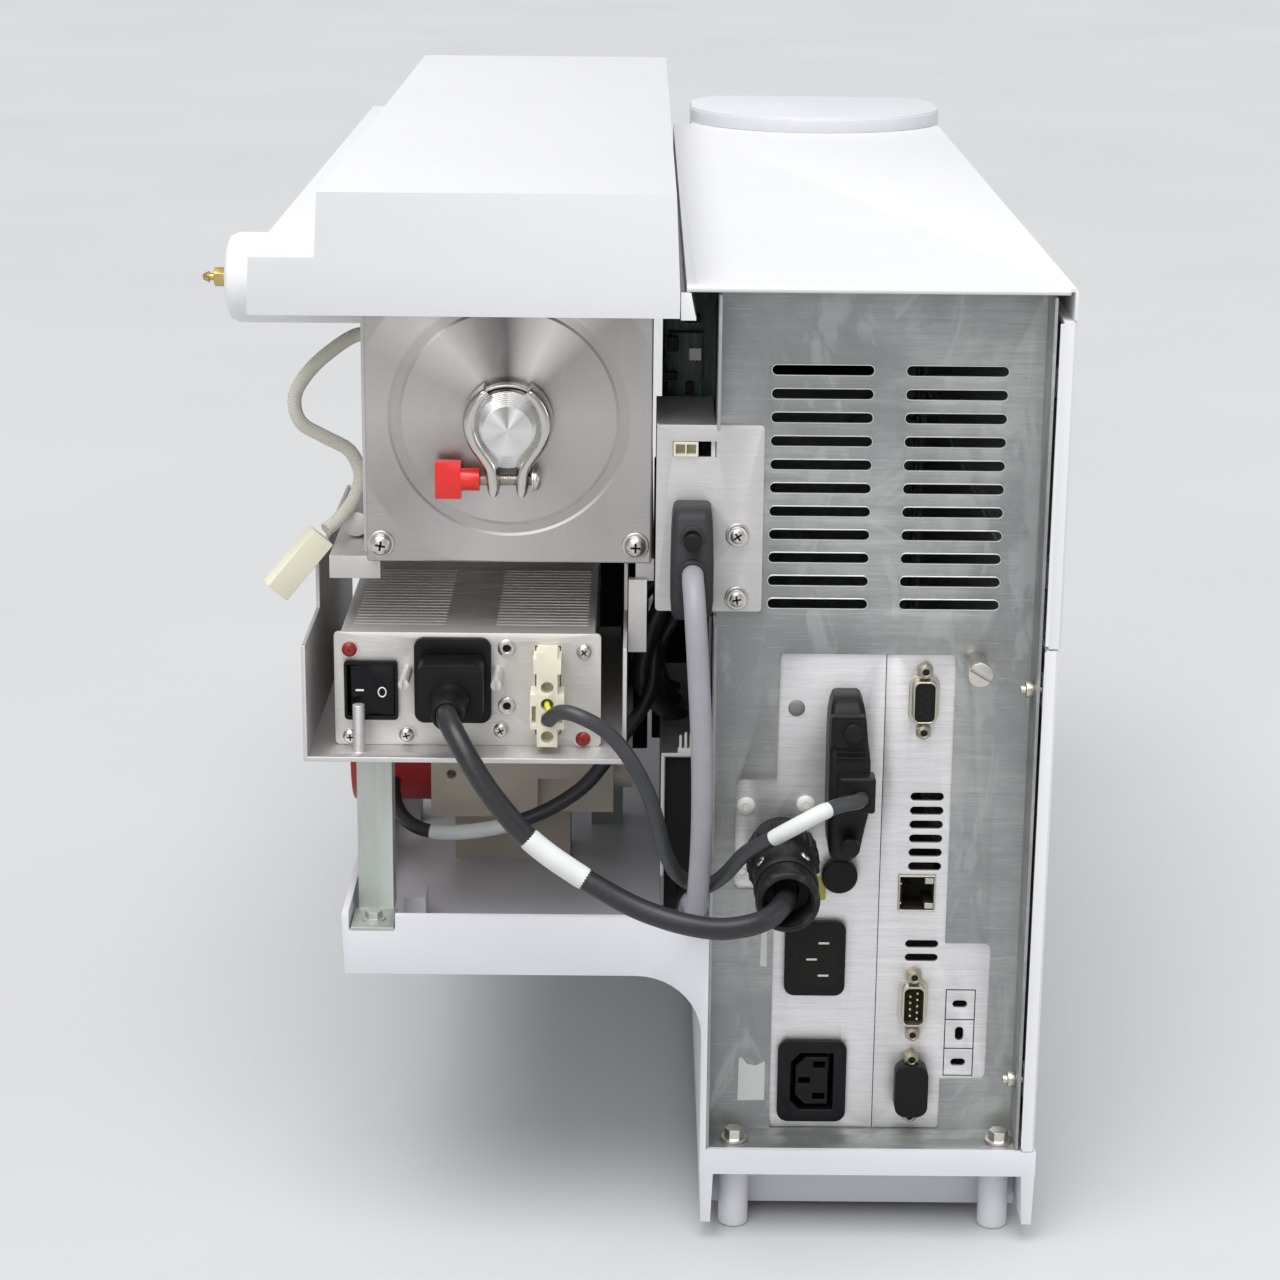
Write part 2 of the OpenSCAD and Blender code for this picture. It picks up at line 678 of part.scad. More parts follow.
module hex_bolts() place() color("silver") for (x = bolt_x) {
    rod_z(11, base_h, 1.3, x, bolt_y);
    translate([x, bolt_y, base_h + 1.2]) cylinder(d = 8.1, h = 3.8, $fn = 6);
    rod_z(5.8, deck_z, sheet_t + 1, x, bolt_y);
}

// slotted captive screw with its spring sleeve
captive_d = 9.6;
module captive_screw() place() color("silver") difference() {
    union() {
        rod_y(captive_d, -20, 4, captive_x, captive_z);
        rod_y(7.6, -16.1, 16.1 - run, captive_x, captive_z);
        rod_y(5.1, -1, 8, captive_x, captive_z);
    }
    translate([captive_x, -20, captive_z]) rotate([0, 30, 0]) translate([-6, -0.1, -0.6]) cube([12, 1.6, 1.2]);
}

// ball studs that the side panels snap on to
module stud(y, z, x1) {
    nut_l = 3.2;
    rod_x(6.4, sheet_x1 - sheet_t - nut_l, nut_l, y, z);
    rod_x(3.3, sheet_x1 - sheet_t - nut_l - 2, x1 - sheet_x1 + 4.4, y, z);
    translate([x1 - 4.1, y, z]) rotate([0, 90, 0]) cylinder(d = ball_d, h = 2.2);
}
module ball_studs() place() color("silver") {
    for (p = spots(stud_y, low_studs)) stud(p[0], p[1], low_panel_x);
    for (p = spots(high_stud_y, high_studs)) stud(p[0], p[1], tower_x1);
}

// a cable hood on edge: a swept-back body of two heights with an exit block
module hood(x, z, w, h, y, deep) {
    side_shape(x - w / 2, w) polygon([
        [y, z + h / 2 - 3], [y - 4, z + h / 2], [y - 14, z + h / 2 - 1], [y - 19, z + h / 2 - 5],
        [y - deep, z + 9], [y - deep, z - 9], [y - 19, z - h / 2 + 5], [y - 14, z - h / 2 + 1],
        [y - 4, z - h / 2], [y, z - h / 2 + 3]
    ]);
}
hood_h = 69;
hood_w = 18;
hood_dx = 0.8;
module hood_screw_holes(x, z, h, y, d) {
    for (s = [-1, 1]) rod_y(d, y - 30, 40, x, z + s * (h / 2 - 11));
}
module signal_hood() place() color("dimgray") {
    difference() {
        union() {
            hood(hood_x, hood_z, hood_w, hood_h, plate_y, 25);
            translate([hood_x - 5, plate_y - 31, hood_z - 8.5]) cube([15.6, 8, 17]);
        }
        hood_screw_holes(hood_x, hood_z, hood_h, plate_y, 6.2);
        rod_y(signal_cable_d + 2 * gap, plate_y - 32, 6, hood_exit_x, hood_z - 1);
    }
    // plug shell through the plate
    rear_shape(plate_y - eps, 5) d_outline(hood_x, hood_z, 8.8, 38.8, 3);
}
hood_exit_x = hood_x + 3;
pump_hood_x = 20.6;
pump_hood_z = 283;
pump_hood_h = 45;
module pump_hood() place() color("dimgray") {
    difference() {
        hood(pump_hood_x, pump_hood_z, 16, pump_hood_h, -plate_t, 22);
        hood_screw_holes(pump_hood_x, pump_hood_z, pump_hood_h, -plate_t, 5.2);
        rod_y(pump_cable_d + 2 * gap, -plate_t - 24, 7, pump_hood_x, pump_hood_z - 1);
    }
}
// thumb screws held in the hoods
module hood_screw(x, z, y, d, l) {
    rod_y(d, y - l, l, x, z);
    rod_y(d + 1.6, y - l - 3, 3, x, z);
}
module hood_screws() place() color("dimgray") {
    for (s = [-1, 1]) {
        hood_screw(hood_x, hood_z + s * (hood_h / 2 - 11), plate_y, 6, 23);
        hood_screw(pump_hood_x, pump_hood_z + s * (pump_hood_h / 2 - 11), -plate_t, 5, 22.4);
    }
}

// round connector: panel receptacle, turning collar, backshell and cable clamp
collar_d = 28;
shell_d = 24.6;
module power_connector() place() color("dimgray") {
    rod_y(24, plate_y - 9, 9, round_x, round_z);
    rod_y(19.6, plate_y - 1, 12, round_x, round_z);
    rod_y(20, plate_y - 26, 18, round_x, round_z);
    rod_y(shell_d, plate_y - 47.2, 21.4, round_x, round_z);
    difference() {
        rod_y(shell_d - 1.6, plate_y - 63.2, 16.1, round_x, round_z);
        rod_y(18, plate_y - 64, 13, round_x, round_z);
        rod_y(power_cable_d + 2 * gap, plate_y - 64, 24, round_x, round_z);
    }
}
module coupling_ring() place() color("dimgray") difference() {
    union() {
        rod_y(collar_d - 1.6, plate_y - 25.7, 16.4, round_x, round_z);
        for (i = [0 : 11]) translate([round_x, plate_y - 25.7, round_z]) rotate([0, i * 30, 0])
            translate([-2.2, 0, collar_d / 2 - 2]) cube([4.4, 16.4, 2]);
    }
    rod_y(20 + 2 * run, plate_y - 27, 20, round_x, round_z);
}

module pump_bracket() place() color("gainsboro") {
    x1 = sheet_x0 - 0.2;
    rear_shape(-plate_t, plate_t) difference() {
        rrect(bracket_x, bracket_z, bracket_w, bracket_h, 1.6);
        translate([bracket_x + 6.2, bracket_z + 61.5]) square([17, 6.1]);
    }
    rear_shape(-eps, 54) difference() {
        translate([bracket_x, bracket_z + 1]) square([x1 - bracket_x, bracket_h - 1]);
        translate([bracket_x + plate_t, bracket_z]) square([x1 - bracket_x - 2 * plate_t, bracket_h - plate_t]);
    }
    for (z = [5.4, 30.7]) rod_y(7.4, -plate_t - 3, 3 + eps, bracket_x + 31.7, bracket_z + z);
}
module dc_connector() place() color("ivory") difference() {
    translate([bracket_x + 6.4, -2.6, bracket_z + 61.7]) cube([9.6, 10, 5.7]);
    for (i = [0 : 1]) translate([bracket_x + 7.3 + 4.2 * i, -3, bracket_z + 62.6]) cube([3.6, 7, 3.9]);
}

// ---------------------------------------------------------------- vacuum manifold

cover_x1 = tower_x - 12.3;
cover_tx1 = cover_x1 - 1.7;
cover_tx0 = cover_tx1 - cover_w;
cover_sx0 = cover_tx0 - cover_step_w;
cover_top = cover_z + 46;
step_z = cover_z + cover_step_h;
rib_z = block_z + block_w;
module cover_outline(t) {
    polygon([
        [cover_tx0 - 1.3 + t, cover_z - t / t], [cover_tx0 - 1.3 + t, step_z], [cover_tx0 + t, cover_top - t],
        [cover_tx1 - t, cover_top - t], [cover_x1 - t, cover_z + 10], [cover_x1 - t, cover_z - t / t]
    ]);
}
module cover_step(t) {
    polygon([
        [cover_sx0 - 1 + t, cover_z - 1], [cover_sx0 + t, step_z - t],
        [cover_tx0 + 10, step_z - t], [cover_tx0 + 10, cover_z - 1]
    ]);
}
module manifold_cover() place() color("gainsboro") {
    difference() {
        union() {
            rear_shape(shell_y, cover_d) cover_outline(0.01);
            rear_shape(shell_y, cover_d - 36) cover_step(0.01);
        }
        rear_shape(shell_y + cover_t, cover_d - 2 * cover_t) cover_outline(cover_t);
        rear_shape(shell_y + cover_t, cover_d - 36 - 2 * cover_t) cover_step(cover_t);
        translate([can_x - 20, shell_y - 1, cover_z - 2]) cube([230, cover_d + 2, 2]);
        // notch over the damper can
        translate([cover_sx0 - 2, can_y - can_d / 2 - 1, cover_z - 2]) cube([6, can_d + 2, 15.5]);
    }
    // ribs that rest on the manifold
    for (y = [4, 500]) translate([cover_tx0 + 1.5, y, rib_z])
        cube([cover_w - 2, 3, cover_top - cover_t - rib_z + eps]);
}

jaw_r = 16.3;
port_r = 15;
module end_plate() place() color("silver") {
    difference() {
        translate([block_x, 0, block_z]) cube([block_w, end_plate_t, block_w]);
        // turned ring and the bore
        turned_y(port_x, 0, port_z) translate([ring_r - 4, -1]) polygon([[0, 0.2], [0, 1.2], [4.6, 1.2], [3.6, 0.2]]);
        rod_y(16, -1, end_plate_t + 2, port_x, port_z);
    }
    // port flange
    difference() {
        turned_y(port_x, eps, port_z) polygon([[8, 0], [10, 0], [10, 4.2], [port_r, 5.4], [port_r, 7.4], [8, 7.4]]);
    }
}
module vacuum_chamber() place() color("silver") difference() {
    translate([block_x - 2.4, chamber_y, block_z]) cube([block_w + 2.4, chamber_d, block_w]);
    rod_y(chamber_bore, chamber_y - 1, chamber_d + 2, port_x, port_z);
}
module blank_flange() place() color("silver")
    turned_y(port_x, -7.6, port_z)
        polygon([[0, 0], [port_r, 0], [port_r, 2], [port_r - 3.4, 3.6], [port_r - 3.4, 4.4], [0, 4.4]]);

module arm_outline() {
    difference() {
        circle(jaw_r);
        circle(jaw_r - 5.4);
        translate([-9, 4]) square([60, 40]);
        translate([-30, 8]) square([60, 40]);
        translate([-6, -40]) square([60, 80]);
    }
    polygon([[-13.6, -9], [-8.4, -8.2], [-5.2, -13], [-4.2, -18], [-4.6, -25], [-7.6, -25.6], [-9.6, -24],
             [-9.8, -17], [-11.8, -13.4]]);
}
module clamp_jaws() place() color("silver") {
    difference() {
        rear_shape(clamp_y - 5.6, 11.4) translate([port_x, port_z]) {
            arm_outline();
            mirror([1, 0]) arm_outline();
            rotate(-22) intersection() {
                arc_band(jaw_r, jaw_r - 5.4);
                translate([-30, 0]) square([22.5, 30]);
            }
            rotate(22) mirror([1, 0]) intersection() {
                arc_band(jaw_r, jaw_r - 5.4);
                translate([-30, 0]) square([22.5, 30]);
            }
        }
        rod_y(2 * port_r + 0.2, -12.2, 8.3, port_x, port_z);
        rod_x(bolt_d + 0.2, port_x - 20, 40, clamp_y, bolt_z);
    }
    // link over the top
    rear_shape(clamp_y - 2, 4) translate([port_x, port_z]) intersection() {
        arc_band(jaw_r + 3, jaw_r + 0.1);
        translate([-9, 0]) square([18, 30]);
    }
}
module arc_band(r1, r0) {
    difference() {
        circle(r1);
        circle(r0);
    }
}
bolt_d = 5;
nut_x = port_x - 18;
module clamp_bolt() place() color("silver") {
    rod_x(bolt_d, port_x - 20, 34, clamp_y, bolt_z);
    rod_x(8, port_x + 10.9, 2.4, clamp_y, bolt_z);
    rod_x(bolt_d - 0.5, port_x - 26, 7, clamp_y, bolt_z);
}
module wing_nut() place() color("red") difference() {
    union() {
        rod_x(8.6, nut_x, 7.2, clamp_y, bolt_z);
        translate([nut_x - 9.8, clamp_y, bolt_z]) side_shape(0, 9.9) polygon([
            [-2.4, -7.2], [2.4, -7.2], [2.9, -3], [2.9, 3], [2.4, 7.2], [-2.4, 7.2], [-2.9, 3], [-2.9, -3]
        ]);
    }
    rod_x(bolt_d + 2 * run, port_x - 27, 30, clamp_y, bolt_z);
}
module plate_screws() place() color("silver")
    for (x = [block_x + 5.6, block_x1 - 6.2], z = [block_z + 7.2, rib_z - 7.2])
        difference() {
            union() {
                rod_y(14, -1, 1, x, z);
                turned_y(x, -1 + eps, z) polygon([[0, 0], [5.8, 0], [5.8, 1.6], [4.4, 3.4], [2.6, 4], [0, 4]]);
            }
            translate([x, -3, z]) rotate([90, 0, 0]) cylinder(d = 4.4, h = 3, $fn = 6);
        }

// rails under the manifold, and the legs that carry their far ends
rail_y = 8;
rail_l = 532;
rail_w = 7.2;
left_rail_w = 20;
left_rail_x = block_x - left_rail_w + 4.5;
right_rail_x = block_x1 - 6.1;
strip_h = 28;
module support_frame() place() color("lightgray") {
    translate([left_rail_x, rail_y, rail_z]) cube([left_rail_w, rail_l, block_z - rail_z]);
    translate([right_rail_x, rail_y, rail_z]) cube([rail_w, rail_l, block_z - rail_z]);
    for (x = [shelf_x + 4 + gap, right_rail_x]) translate([x, rail_y + rail_l - 20, shelf_z + wall_t])
        cube([rail_w, 20, rail_z - shelf_z - wall_t + eps]);
    // strip down to the tray's right wall, and the tube stub at the left
    translate([tray_x1 + gap, rail_y - 4, rail_z - strip_h]) cube([rail_w, 4.2, strip_h + 1.4]);
    rod_y(10, 36, 60, block_x - 7.5, block_z + 5.9);
}
trap_l = 150;
module ion_trap() place() color("silver") {
    translate([block_x - 2.4, chamber_y + chamber_d, block_z]) cube([block_w + 2.4, 20, block_w]);
    rod_y(96, chamber_y + chamber_d + 19, trap_l, port_x, port_z);
    translate([block_x + 2, chamber_y + chamber_d + 18 + trap_l, block_z]) cube([block_w - 4, 76, block_w]);
}

// ---------------------------------------------------------------- power supply in its tray

tray_step_y = 35;
module psu_tray() place() color("lightgray") {
    translate([tray_x, shell_y, tray_z - tray_t]) cube([tray_w, tray_d, tray_t]);
    for (x = [tray_x, tray_x1 - 1.6]) {
        translate([x, shell_y, tray_z - tray_t]) cube([1.6, tray_d, 46.8]);
        translate([x, tray_step_y, tray_z - tray_t])
            cube([1.6, tray_d + shell_y - tray_step_y, rail_z - tray_z + tray_t]);
    }
    // locating pin
    rod_z(4.7, tray_z - 1, 20, -108.5, -13);
}
psu_x1 = psu_x + psu_w;
case_t = 1.2;
switch_x = psu_x + 14.4;
switch_z = psu_z + 22.8;
socket_x = psu_x + 46.4;
socket_z = psu_z + 27.2;
term_x = psu_x + 83.6;
post_z = psu_z + 30.7;
post_xs = [socket_x - 17.8, socket_x + 17.8];
bezel_w = 21;
bezel_h = 24;
module psu_case() place() color("silver") {
    rear_shape(psu_y, 1.5) difference() {
        rrect(psu_x, psu_z, psu_w, psu_h, 1.8);
        translate([switch_x, switch_z]) square([bezel_w - 0.8, bezel_h - 1], center = true);
        rrect(socket_x - 13, socket_z - 15, 26, 30, 2);
        translate([term_x - 5, psu_z + 5]) square([10, 36]);
        for (z = [40, 16.5]) translate([psu_x + 67.4, psu_z + z]) circle(d = 3.2);
    }
    difference() {
        translate([psu_x + 2.5, psu_y + 1.4, psu_z]) cube([psu_w - 5, psu_d, psu_h - 2]);
        translate([psu_x + 2.5 + case_t, psu_y, psu_z + case_t])
            cube([psu_w - 5 - 2 * case_t, psu_d + 1.4 - case_t, psu_h]);
    }
    for (x = post_xs) difference() {
        rod_y(4.2, rear_y, psu_y - rear_y + eps, x, post_z);
        translate([x - 0.5, rear_y - 1, post_z - 3]) cube([1, 2.4, 6]);
    }
}
module psu_lid() place() color("silver") difference() {
    translate([psu_x + 2.5, psu_y + 1.5, psu_z + psu_h - 2]) cube([psu_w - 5, psu_d - 0.1, case_t]);
    for (i = [0 : 19]) for (x = [psu_x + 24.5, psu_x + 80.8])
        translate([x, psu_y + 14.5 + 4.4 * i, psu_z + psu_h - 4]) linear_extrude(6) slot(0, 0, 37, 1.8);
}
pivot_y = psu_y + 3;
pivot_d = 3;
module switch_bezel() place() color("black") difference() {
    union() {
        rear_shape(psu_y - 2.2, 2.2) rrect(switch_x - bezel_w / 2, switch_z - bezel_h / 2, bezel_w, bezel_h, 1.6);
        translate([switch_x - bezel_w / 2 + 0.5, psu_y - 1, switch_z - bezel_h / 2 + 0.6])
            cube([bezel_w - 1, 14, bezel_h - 1.2]);
    }
    translate([switch_x - 9.35, psu_y - 3, switch_z - 10.4]) cube([18.7, 14, 20.8]);
    rod_z(pivot_d + 2 * run, switch_z - 11.4, 22.8, switch_x, pivot_y);
}
module rocker_switch() place() color("black") translate([switch_x, pivot_y, switch_z]) rotate([0, 0, rocker_tilt]) {
    translate([0, 0, -10.2]) linear_extrude(20.4) {
        polygon([[-8.3, -5.6], [0, -4.2], [8.3, -5.6], [8, -1], [2.5, 0], [-2.5, 0], [-8, -1]]);
        circle(d = 5);
    }
    translate([0, 0, -11.3]) cylinder(d = pivot_d, h = 22.6);
}
module psu_inlet() place() color("black") {
    difference() {
        union() {
            rear_shape(psu_y - 3, 3) rrect(socket_x - 15, socket_z - 17.2, 30, 34.4, 4);
            rear_shape(psu_y - eps, 22) rrect(socket_x - 12.9, socket_z - 14.9, 25.8, 29.8, 2);
        }
        rear_shape(psu_y - 4, 19) rrect(socket_x - 12, socket_z - 11.6, 24, 22, 3);
    }
    blades(socket_x, socket_z, psu_y - 1, 17, 0);
}
plug_y = psu_y - 19;
module power_plug() place() color("black") difference() {
    union() {
        rear_shape(psu_y - 3.3, 17) rrect(socket_x - 11.7, socket_z - 11.3, 23.4, 21.4, 2.7);
        rear_shape(plug_y, 15.9) rrect(socket_x - 12.6, socket_z - 11.6, 25.2, 22.6, 3);
        turned_y(socket_x, plug_y + 1, socket_z - 3)
            polygon([[0, 0], [8, 0], [8, 4], [6.6, 8], [6.2, 20], [5.6, 21], [0, 21]]);
    }
    blades(socket_x, socket_z, psu_y - 4, 30, gap);
    rod_y(power_cable_d + 2 * gap, plug_y - 21, 8, socket_x, socket_z - 3);
}
wire_z = [psu_z + 27.4, psu_z + 20.6, psu_z + 14, psu_z + 7.4];
module terminal_plug() place() color("ivory") difference() {
    union() {
        rear_shape(psu_y - 12, 12) translate([term_x, 0]) {
            translate([-6.6, psu_z + 10.6]) square([13.2, 14]);
            translate([-4, psu_z + 3.4]) square([8, 38]);
            translate([-5.4, psu_z + 33]) square([10.8, 6]);
        }
        translate([term_x - 4.6, psu_y - eps, psu_z + 5.4]) cube([9.2, 12, 35]);
    }
    for (z = wire_z) rod_y(5, psu_y - 13, 9, term_x, z);
    for (s = [-1, 1]) translate([term_x + s * 5.2 - 0.8, psu_y - 13, psu_z + 13]) cube([1.6, 6, 7]);
}

// square posts that carry the tray, the rear one with a bolted foot
module frame_post() place() color("darkseagreen") {
    top = tray_z - tray_t;
    for (p = [[post_x, 0, notch_z], [post_x, 150, shelf_z + wall_t], [tray_x1 - 16, 150, shelf_z + wall_t]])
        translate([p[0], p[1], p[2]]) difference() {
            cube([post_w, 14, top - p[2]]);
            translate([1.6, 1.6, -1]) cube([post_w - 3.2, 10.8, top]);
        }
    difference() {
        translate([post_x - 1.4, shell_y, notch_z]) cube([post_w + 2.8, recess_d, 1.4]);
        rod_z(5, notch_z - 1, 4, post_x + post_w / 2, shell_y + 9);
    }
    translate([post_x + post_w / 2, shell_y + 9, notch_z]) {
        cylinder(d = 5, h = 2);
        translate([0, 0, 1.4]) cylinder(d = 9.4, h = 1);
        translate([0, 0, 2.3]) cylinder(d = 7, h = 2.8, $fn = 6);
    }
}

// ---------------------------------------------------------------- pump, can and fan

bearing_d = 8;
module turbo_pump() place() color("firebrick") difference() {
    rod_x(pump_d, pump_x, pump_red_l, pump_y, pump_z);
    rod_x(pump_d - 8, pump_x + 3, pump_red_l - 7, pump_y, pump_z);
    rod_x(bearing_d + 2 * run, pump_x + 1, pump_red_l - 2, pump_y, pump_z);
}
module turbo_rotor() place() color("silver") {
    rod_x(bearing_d, pump_x + 1.2, pump_red_l - 2.4, pump_y, pump_z);
    for (i = [0 : 3]) rod_x(pump_d - 10, pump_x + 5 + 6 * i, 3, pump_y, pump_z);
}
module pump_block() place() color("tan") {
    x0 = pump_x + pump_red_l;
    bottom = pump_z - pump_d / 2;
    difference() {
        translate([x0, pump_y - 26, bottom]) cube([pump_block_x1 - x0, 62, pump_d]);
        rod_y(4.2, pump_y - 27, 9, x0 + 8.6, pump_z - 7.4);
        translate([x0 + 45, pump_y - 27, bottom - 1]) cube([40, 8, 18]);
    }
    translate([x0 + 8, pump_foot_y, shelf_z + wall_t]) cube([50, 24, bottom - shelf_z - wall_t + eps]);
    rod_x(44, pump_block_x1 - eps, 8, pump_y, pump_z + 2);
}
module damper_can() place() color("white") {
    turned_x = can_d / 2;
    translate([can_x, can_y, can_z]) rotate([0, 90, 0]) rotate_extrude() polygon([
        [0, 0], [turned_x - 5, 0], [turned_x - 1.5, 1.5], [turned_x, 5], [turned_x, block_x - 2.4 - can_x],
        [0, block_x - 2.4 - can_x]
    ]);
}
module barb_fitting() place() color("goldenrod") {
    translate([can_x - 5.6, can_y, can_z]) rotate([0, 90, 0]) cylinder(d = 8, h = 5.6, $fn = 6);
    translate([can_x - barb_l, can_y, can_z]) rotate([0, 90, 0])
        rotate_extrude() polygon([[0, 0], [1.2, 0], [2.4, 2.6], [1.5, 2.6], [1.5, 5], [0, 5]]);
}
heater_end = [-124.5, 26, 285];
heater_tip = [-144, 20, 262];
module heater_plug() place() color("ivory") {
    d = heater_tip - heater_end;
    yaw = atan2(d[1], d[0]);
    translate(heater_end) rotate([0, acos(d[2] / norm(d)), yaw]) difference() {
        translate([-5, -5, 2]) cube([10, 10, norm(d) - 2]);
        for (sx = [-1, 1], sy = [-1, 1]) translate([sx * 2.3 - 1.5, sy * 2.3 - 1.5, norm(d) - 8]) cube([3, 3, 9]);
    }
}
module control_board() place() color("darkgreen") {
    translate([9, wall_y - 1.6, 241]) cube([sheet_x0 + sheet_t - 9, 1.6, tower_h - 255.9]);
    translate([11, wall_y - 5.6, tower_h - 91.9]) cube([14, 4 + eps, 60]);
    translate([13, wall_y - 4.6, 255]) cube([10, 3 + eps, 30]);
}
fan_y = tower_y1 - gap - sheet_t - 25;
fan_w = 92;
hub_d = 32;
module fan_frame() place() color("black") {
    rear_shape(fan_y, 25) difference() {
        translate([fan_x, fan_z]) square(fan_w, center = true);
        translate([fan_x, fan_z]) circle(d = fan_d);
    }
    rear_shape(fan_y + 22, 3) {
        translate([fan_x, fan_z]) circle(d = hub_d);
        for (a = [45, 135]) translate([fan_x, fan_z]) rotate(a) square([fan_d + 2, 5], center = true);
    }
    rod_y(4, fan_y + 8, 15, fan_x, fan_z);
}
module fan_rotor() place() color("black") {
    difference() {
        rod_y(hub_d, fan_y + 2, 19.6, fan_x, fan_z);
        rod_y(4 + 2 * run, fan_y + 6, 17, fan_x, fan_z);
    }
    for (i = [0 : 6]) translate([fan_x, fan_y + 11.5, fan_z]) rotate([0, i * 360 / 7, 0])
        translate([hub_d / 2 - 1.5, 0, 0]) rotate([38, 0, 0])
            translate([0, -1, -10]) cube([fan_d / 2 - hub_d / 2, 2, 20]);
}

// ---------------------------------------------------------------- cables

power_route = [
    [58, -55, 163], [56.1, -63, 163], [51.5, -71, 161.3], [44, -76.5, 159.8], [32, -79, 159],
    [19.4, -79, 160.7], [6.8, -77, 163.8], [-3.2, -75, 167.5], [-13.2, -73, 172.5],
    [-23.3, -71, 178.3], [-33.4, -70, 185.2], [-42.2, -69, 192.7], [-49.7, -68, 201.5],
    [-57.2, -66, 211.3], [-63.2, -63, 220.5], [-68.4, -57, 228], [-71.6, -48, 231],
    [-72.1, -41, 230.8]
];
signal_route = [
    [87, -26, 194], [87, -31.2, 194], [84.2, -37.4, 195.2], [78.5, -43, 196], [70.8, -49, 195], [62.5, -50, 190.6],
    [52.2, -46, 183], [42.5, -39, 174.7], [35, -32.5, 163.4], [29, -27, 156.8], [25, -21.5, 153.8],
    [22, -15.5, 153], [19, -14.5, 154.5], [15.4, -18.5, 159.4], [11.2, -24, 170],
    [8.4, -26, 182], [4.8, -27, 194], [-0.8, -28, 205.8], [-6.6, -28, 214.4],
    [-13.2, -28, 221], [-20.2, -28, 225], [-26, -26, 226.6], [-30.6, -23, 225.6],
    [-34.6, -19.6, 221.4]
];
pump_route = [
    [20.8, -21, 281.5], [20.8, -31, 280.6], [21.3, -39, 275.5], [22, -43, 266], [23, -44.5, 250],
    [24, -45, 234], [24.8, -45, 218], [25.2, -44.5, 202], [25.3, -43, 187], [25, -41, 173],
    [24.5, -38, 161], [24.1, -33.5, 151.5], [23.6, -27, 146.6], [23, -20, 145.8],
    [22.4, -13, 144.6], [21.8, -6, 139.8], [21.4, 1, 132], [21, 9, 126.6], [21, 18, 124.2],
    [21.2, 30, 123.8], [21.6, 60, 123.8], [22, 90, 123.8], [22, 130, 123.8]
];
inner_route = [
    [6.6, 62, 238], [7, 60, 225], [6, 56, 213], [2.5, 52, 204.9], [-2.4, 50, 198.1],
    [-10.1, 48, 186.6], [-20.3, 47, 173.3], [-31.5, 47, 164.5], [-42.7, 47, 158.6],
    [-56.4, 47, 153.9], [-72.4, 47, 151.3], [-85.6, 48, 151.3], [-94, 51.5, 153.4],
    [-99.5, 58, 157], [-102, 66.5, 161.5], [-102.6, 72.4, 164.5]
];
heater_route = [
    [-108.2, 45, 361], [-113, 44.8, 360], [-120, 42.5, 356], [-130, 40, 347.5], [-136.5, 38.4, 337],
    [-134.5, 38, 326.5], [-125, 40, 320], [-115.5, 42, 314], [-111.4, 42, 304], [-114, 38, 295],
    [-119, 31, 289], [-124, 26.4, 285.4]
];
module power_cable() place() color("dimgray") cable(power_route, power_cable_d, 12);
module signal_cable() place() color("dimgray") cable(signal_route, signal_cable_d, 10);
module pump_cable() place() color("gray") cable(pump_route, pump_cable_d, 12);
module inner_cable() place() color("dimgray") cable(inner_route, inner_cable_d, 8);
module heater_cable() place() color("ivory") cable(heater_route, heater_cable_d, 8);

base();
base_feet();
rear_chassis();
inner_chassis();
top_cover();
side_panel_upper();
side_panel_lower();
front_fascia();
mains_plate();
interface_plate();
hex_bolts();
captive_screw();
ball_studs();
mains_inlet();
pump_outlet();
fuse_cap();
remote_port();
serial_ports();
dust_cap();
lan_jack();
signal_hood();
hood_screws();
power_connector();
coupling_ring();
pump_bracket();
dc_connector();
pump_hood();
manifold_cover();
end_plate();
vacuum_chamber();
blank_flange();
clamp_jaws();
clamp_bolt();
wing_nut();
plate_screws();
support_frame();
ion_trap();
psu_tray();
psu_case();
psu_lid();
rocker_switch();
switch_bezel();
psu_inlet();
power_plug();
terminal_plug();
frame_post();
turbo_pump();
turbo_rotor();
pump_block();
damper_can();
barb_fitting();
heater_plug();
control_board();
fan_frame();
fan_rotor();
power_cable();
signal_cable();
pump_cable();
inner_cable();
heater_cable();
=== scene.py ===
"""Dresses the frame of a bench mass spectrometer, seen from its service side."""

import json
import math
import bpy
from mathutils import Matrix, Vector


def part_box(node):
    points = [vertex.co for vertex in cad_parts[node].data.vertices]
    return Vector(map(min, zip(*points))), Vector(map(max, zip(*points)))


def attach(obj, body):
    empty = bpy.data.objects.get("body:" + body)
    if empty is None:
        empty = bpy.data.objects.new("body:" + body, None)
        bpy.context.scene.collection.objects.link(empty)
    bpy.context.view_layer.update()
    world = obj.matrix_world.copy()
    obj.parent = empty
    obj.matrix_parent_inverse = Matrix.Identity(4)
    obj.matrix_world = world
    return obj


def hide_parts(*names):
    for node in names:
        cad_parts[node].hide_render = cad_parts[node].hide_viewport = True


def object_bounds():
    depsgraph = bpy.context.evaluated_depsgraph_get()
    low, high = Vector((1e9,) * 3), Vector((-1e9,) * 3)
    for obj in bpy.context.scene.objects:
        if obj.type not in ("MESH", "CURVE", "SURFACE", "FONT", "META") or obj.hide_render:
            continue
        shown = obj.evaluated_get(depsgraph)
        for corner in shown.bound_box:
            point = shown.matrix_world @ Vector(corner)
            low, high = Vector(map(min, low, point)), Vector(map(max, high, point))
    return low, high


bl_info = {
    "name": "Bench Mass Spectrometer",
    "version": (1, 0, 0),
    "blender": (4, 5, 0),
    "location": "View3D > Sidebar > Spectrometer",
    "description": "Finishes a packed mass spectrometer frame, piece by piece",
    "category": "Object",
}

import bmesh
import bpy
from mathutils import Matrix, Vector

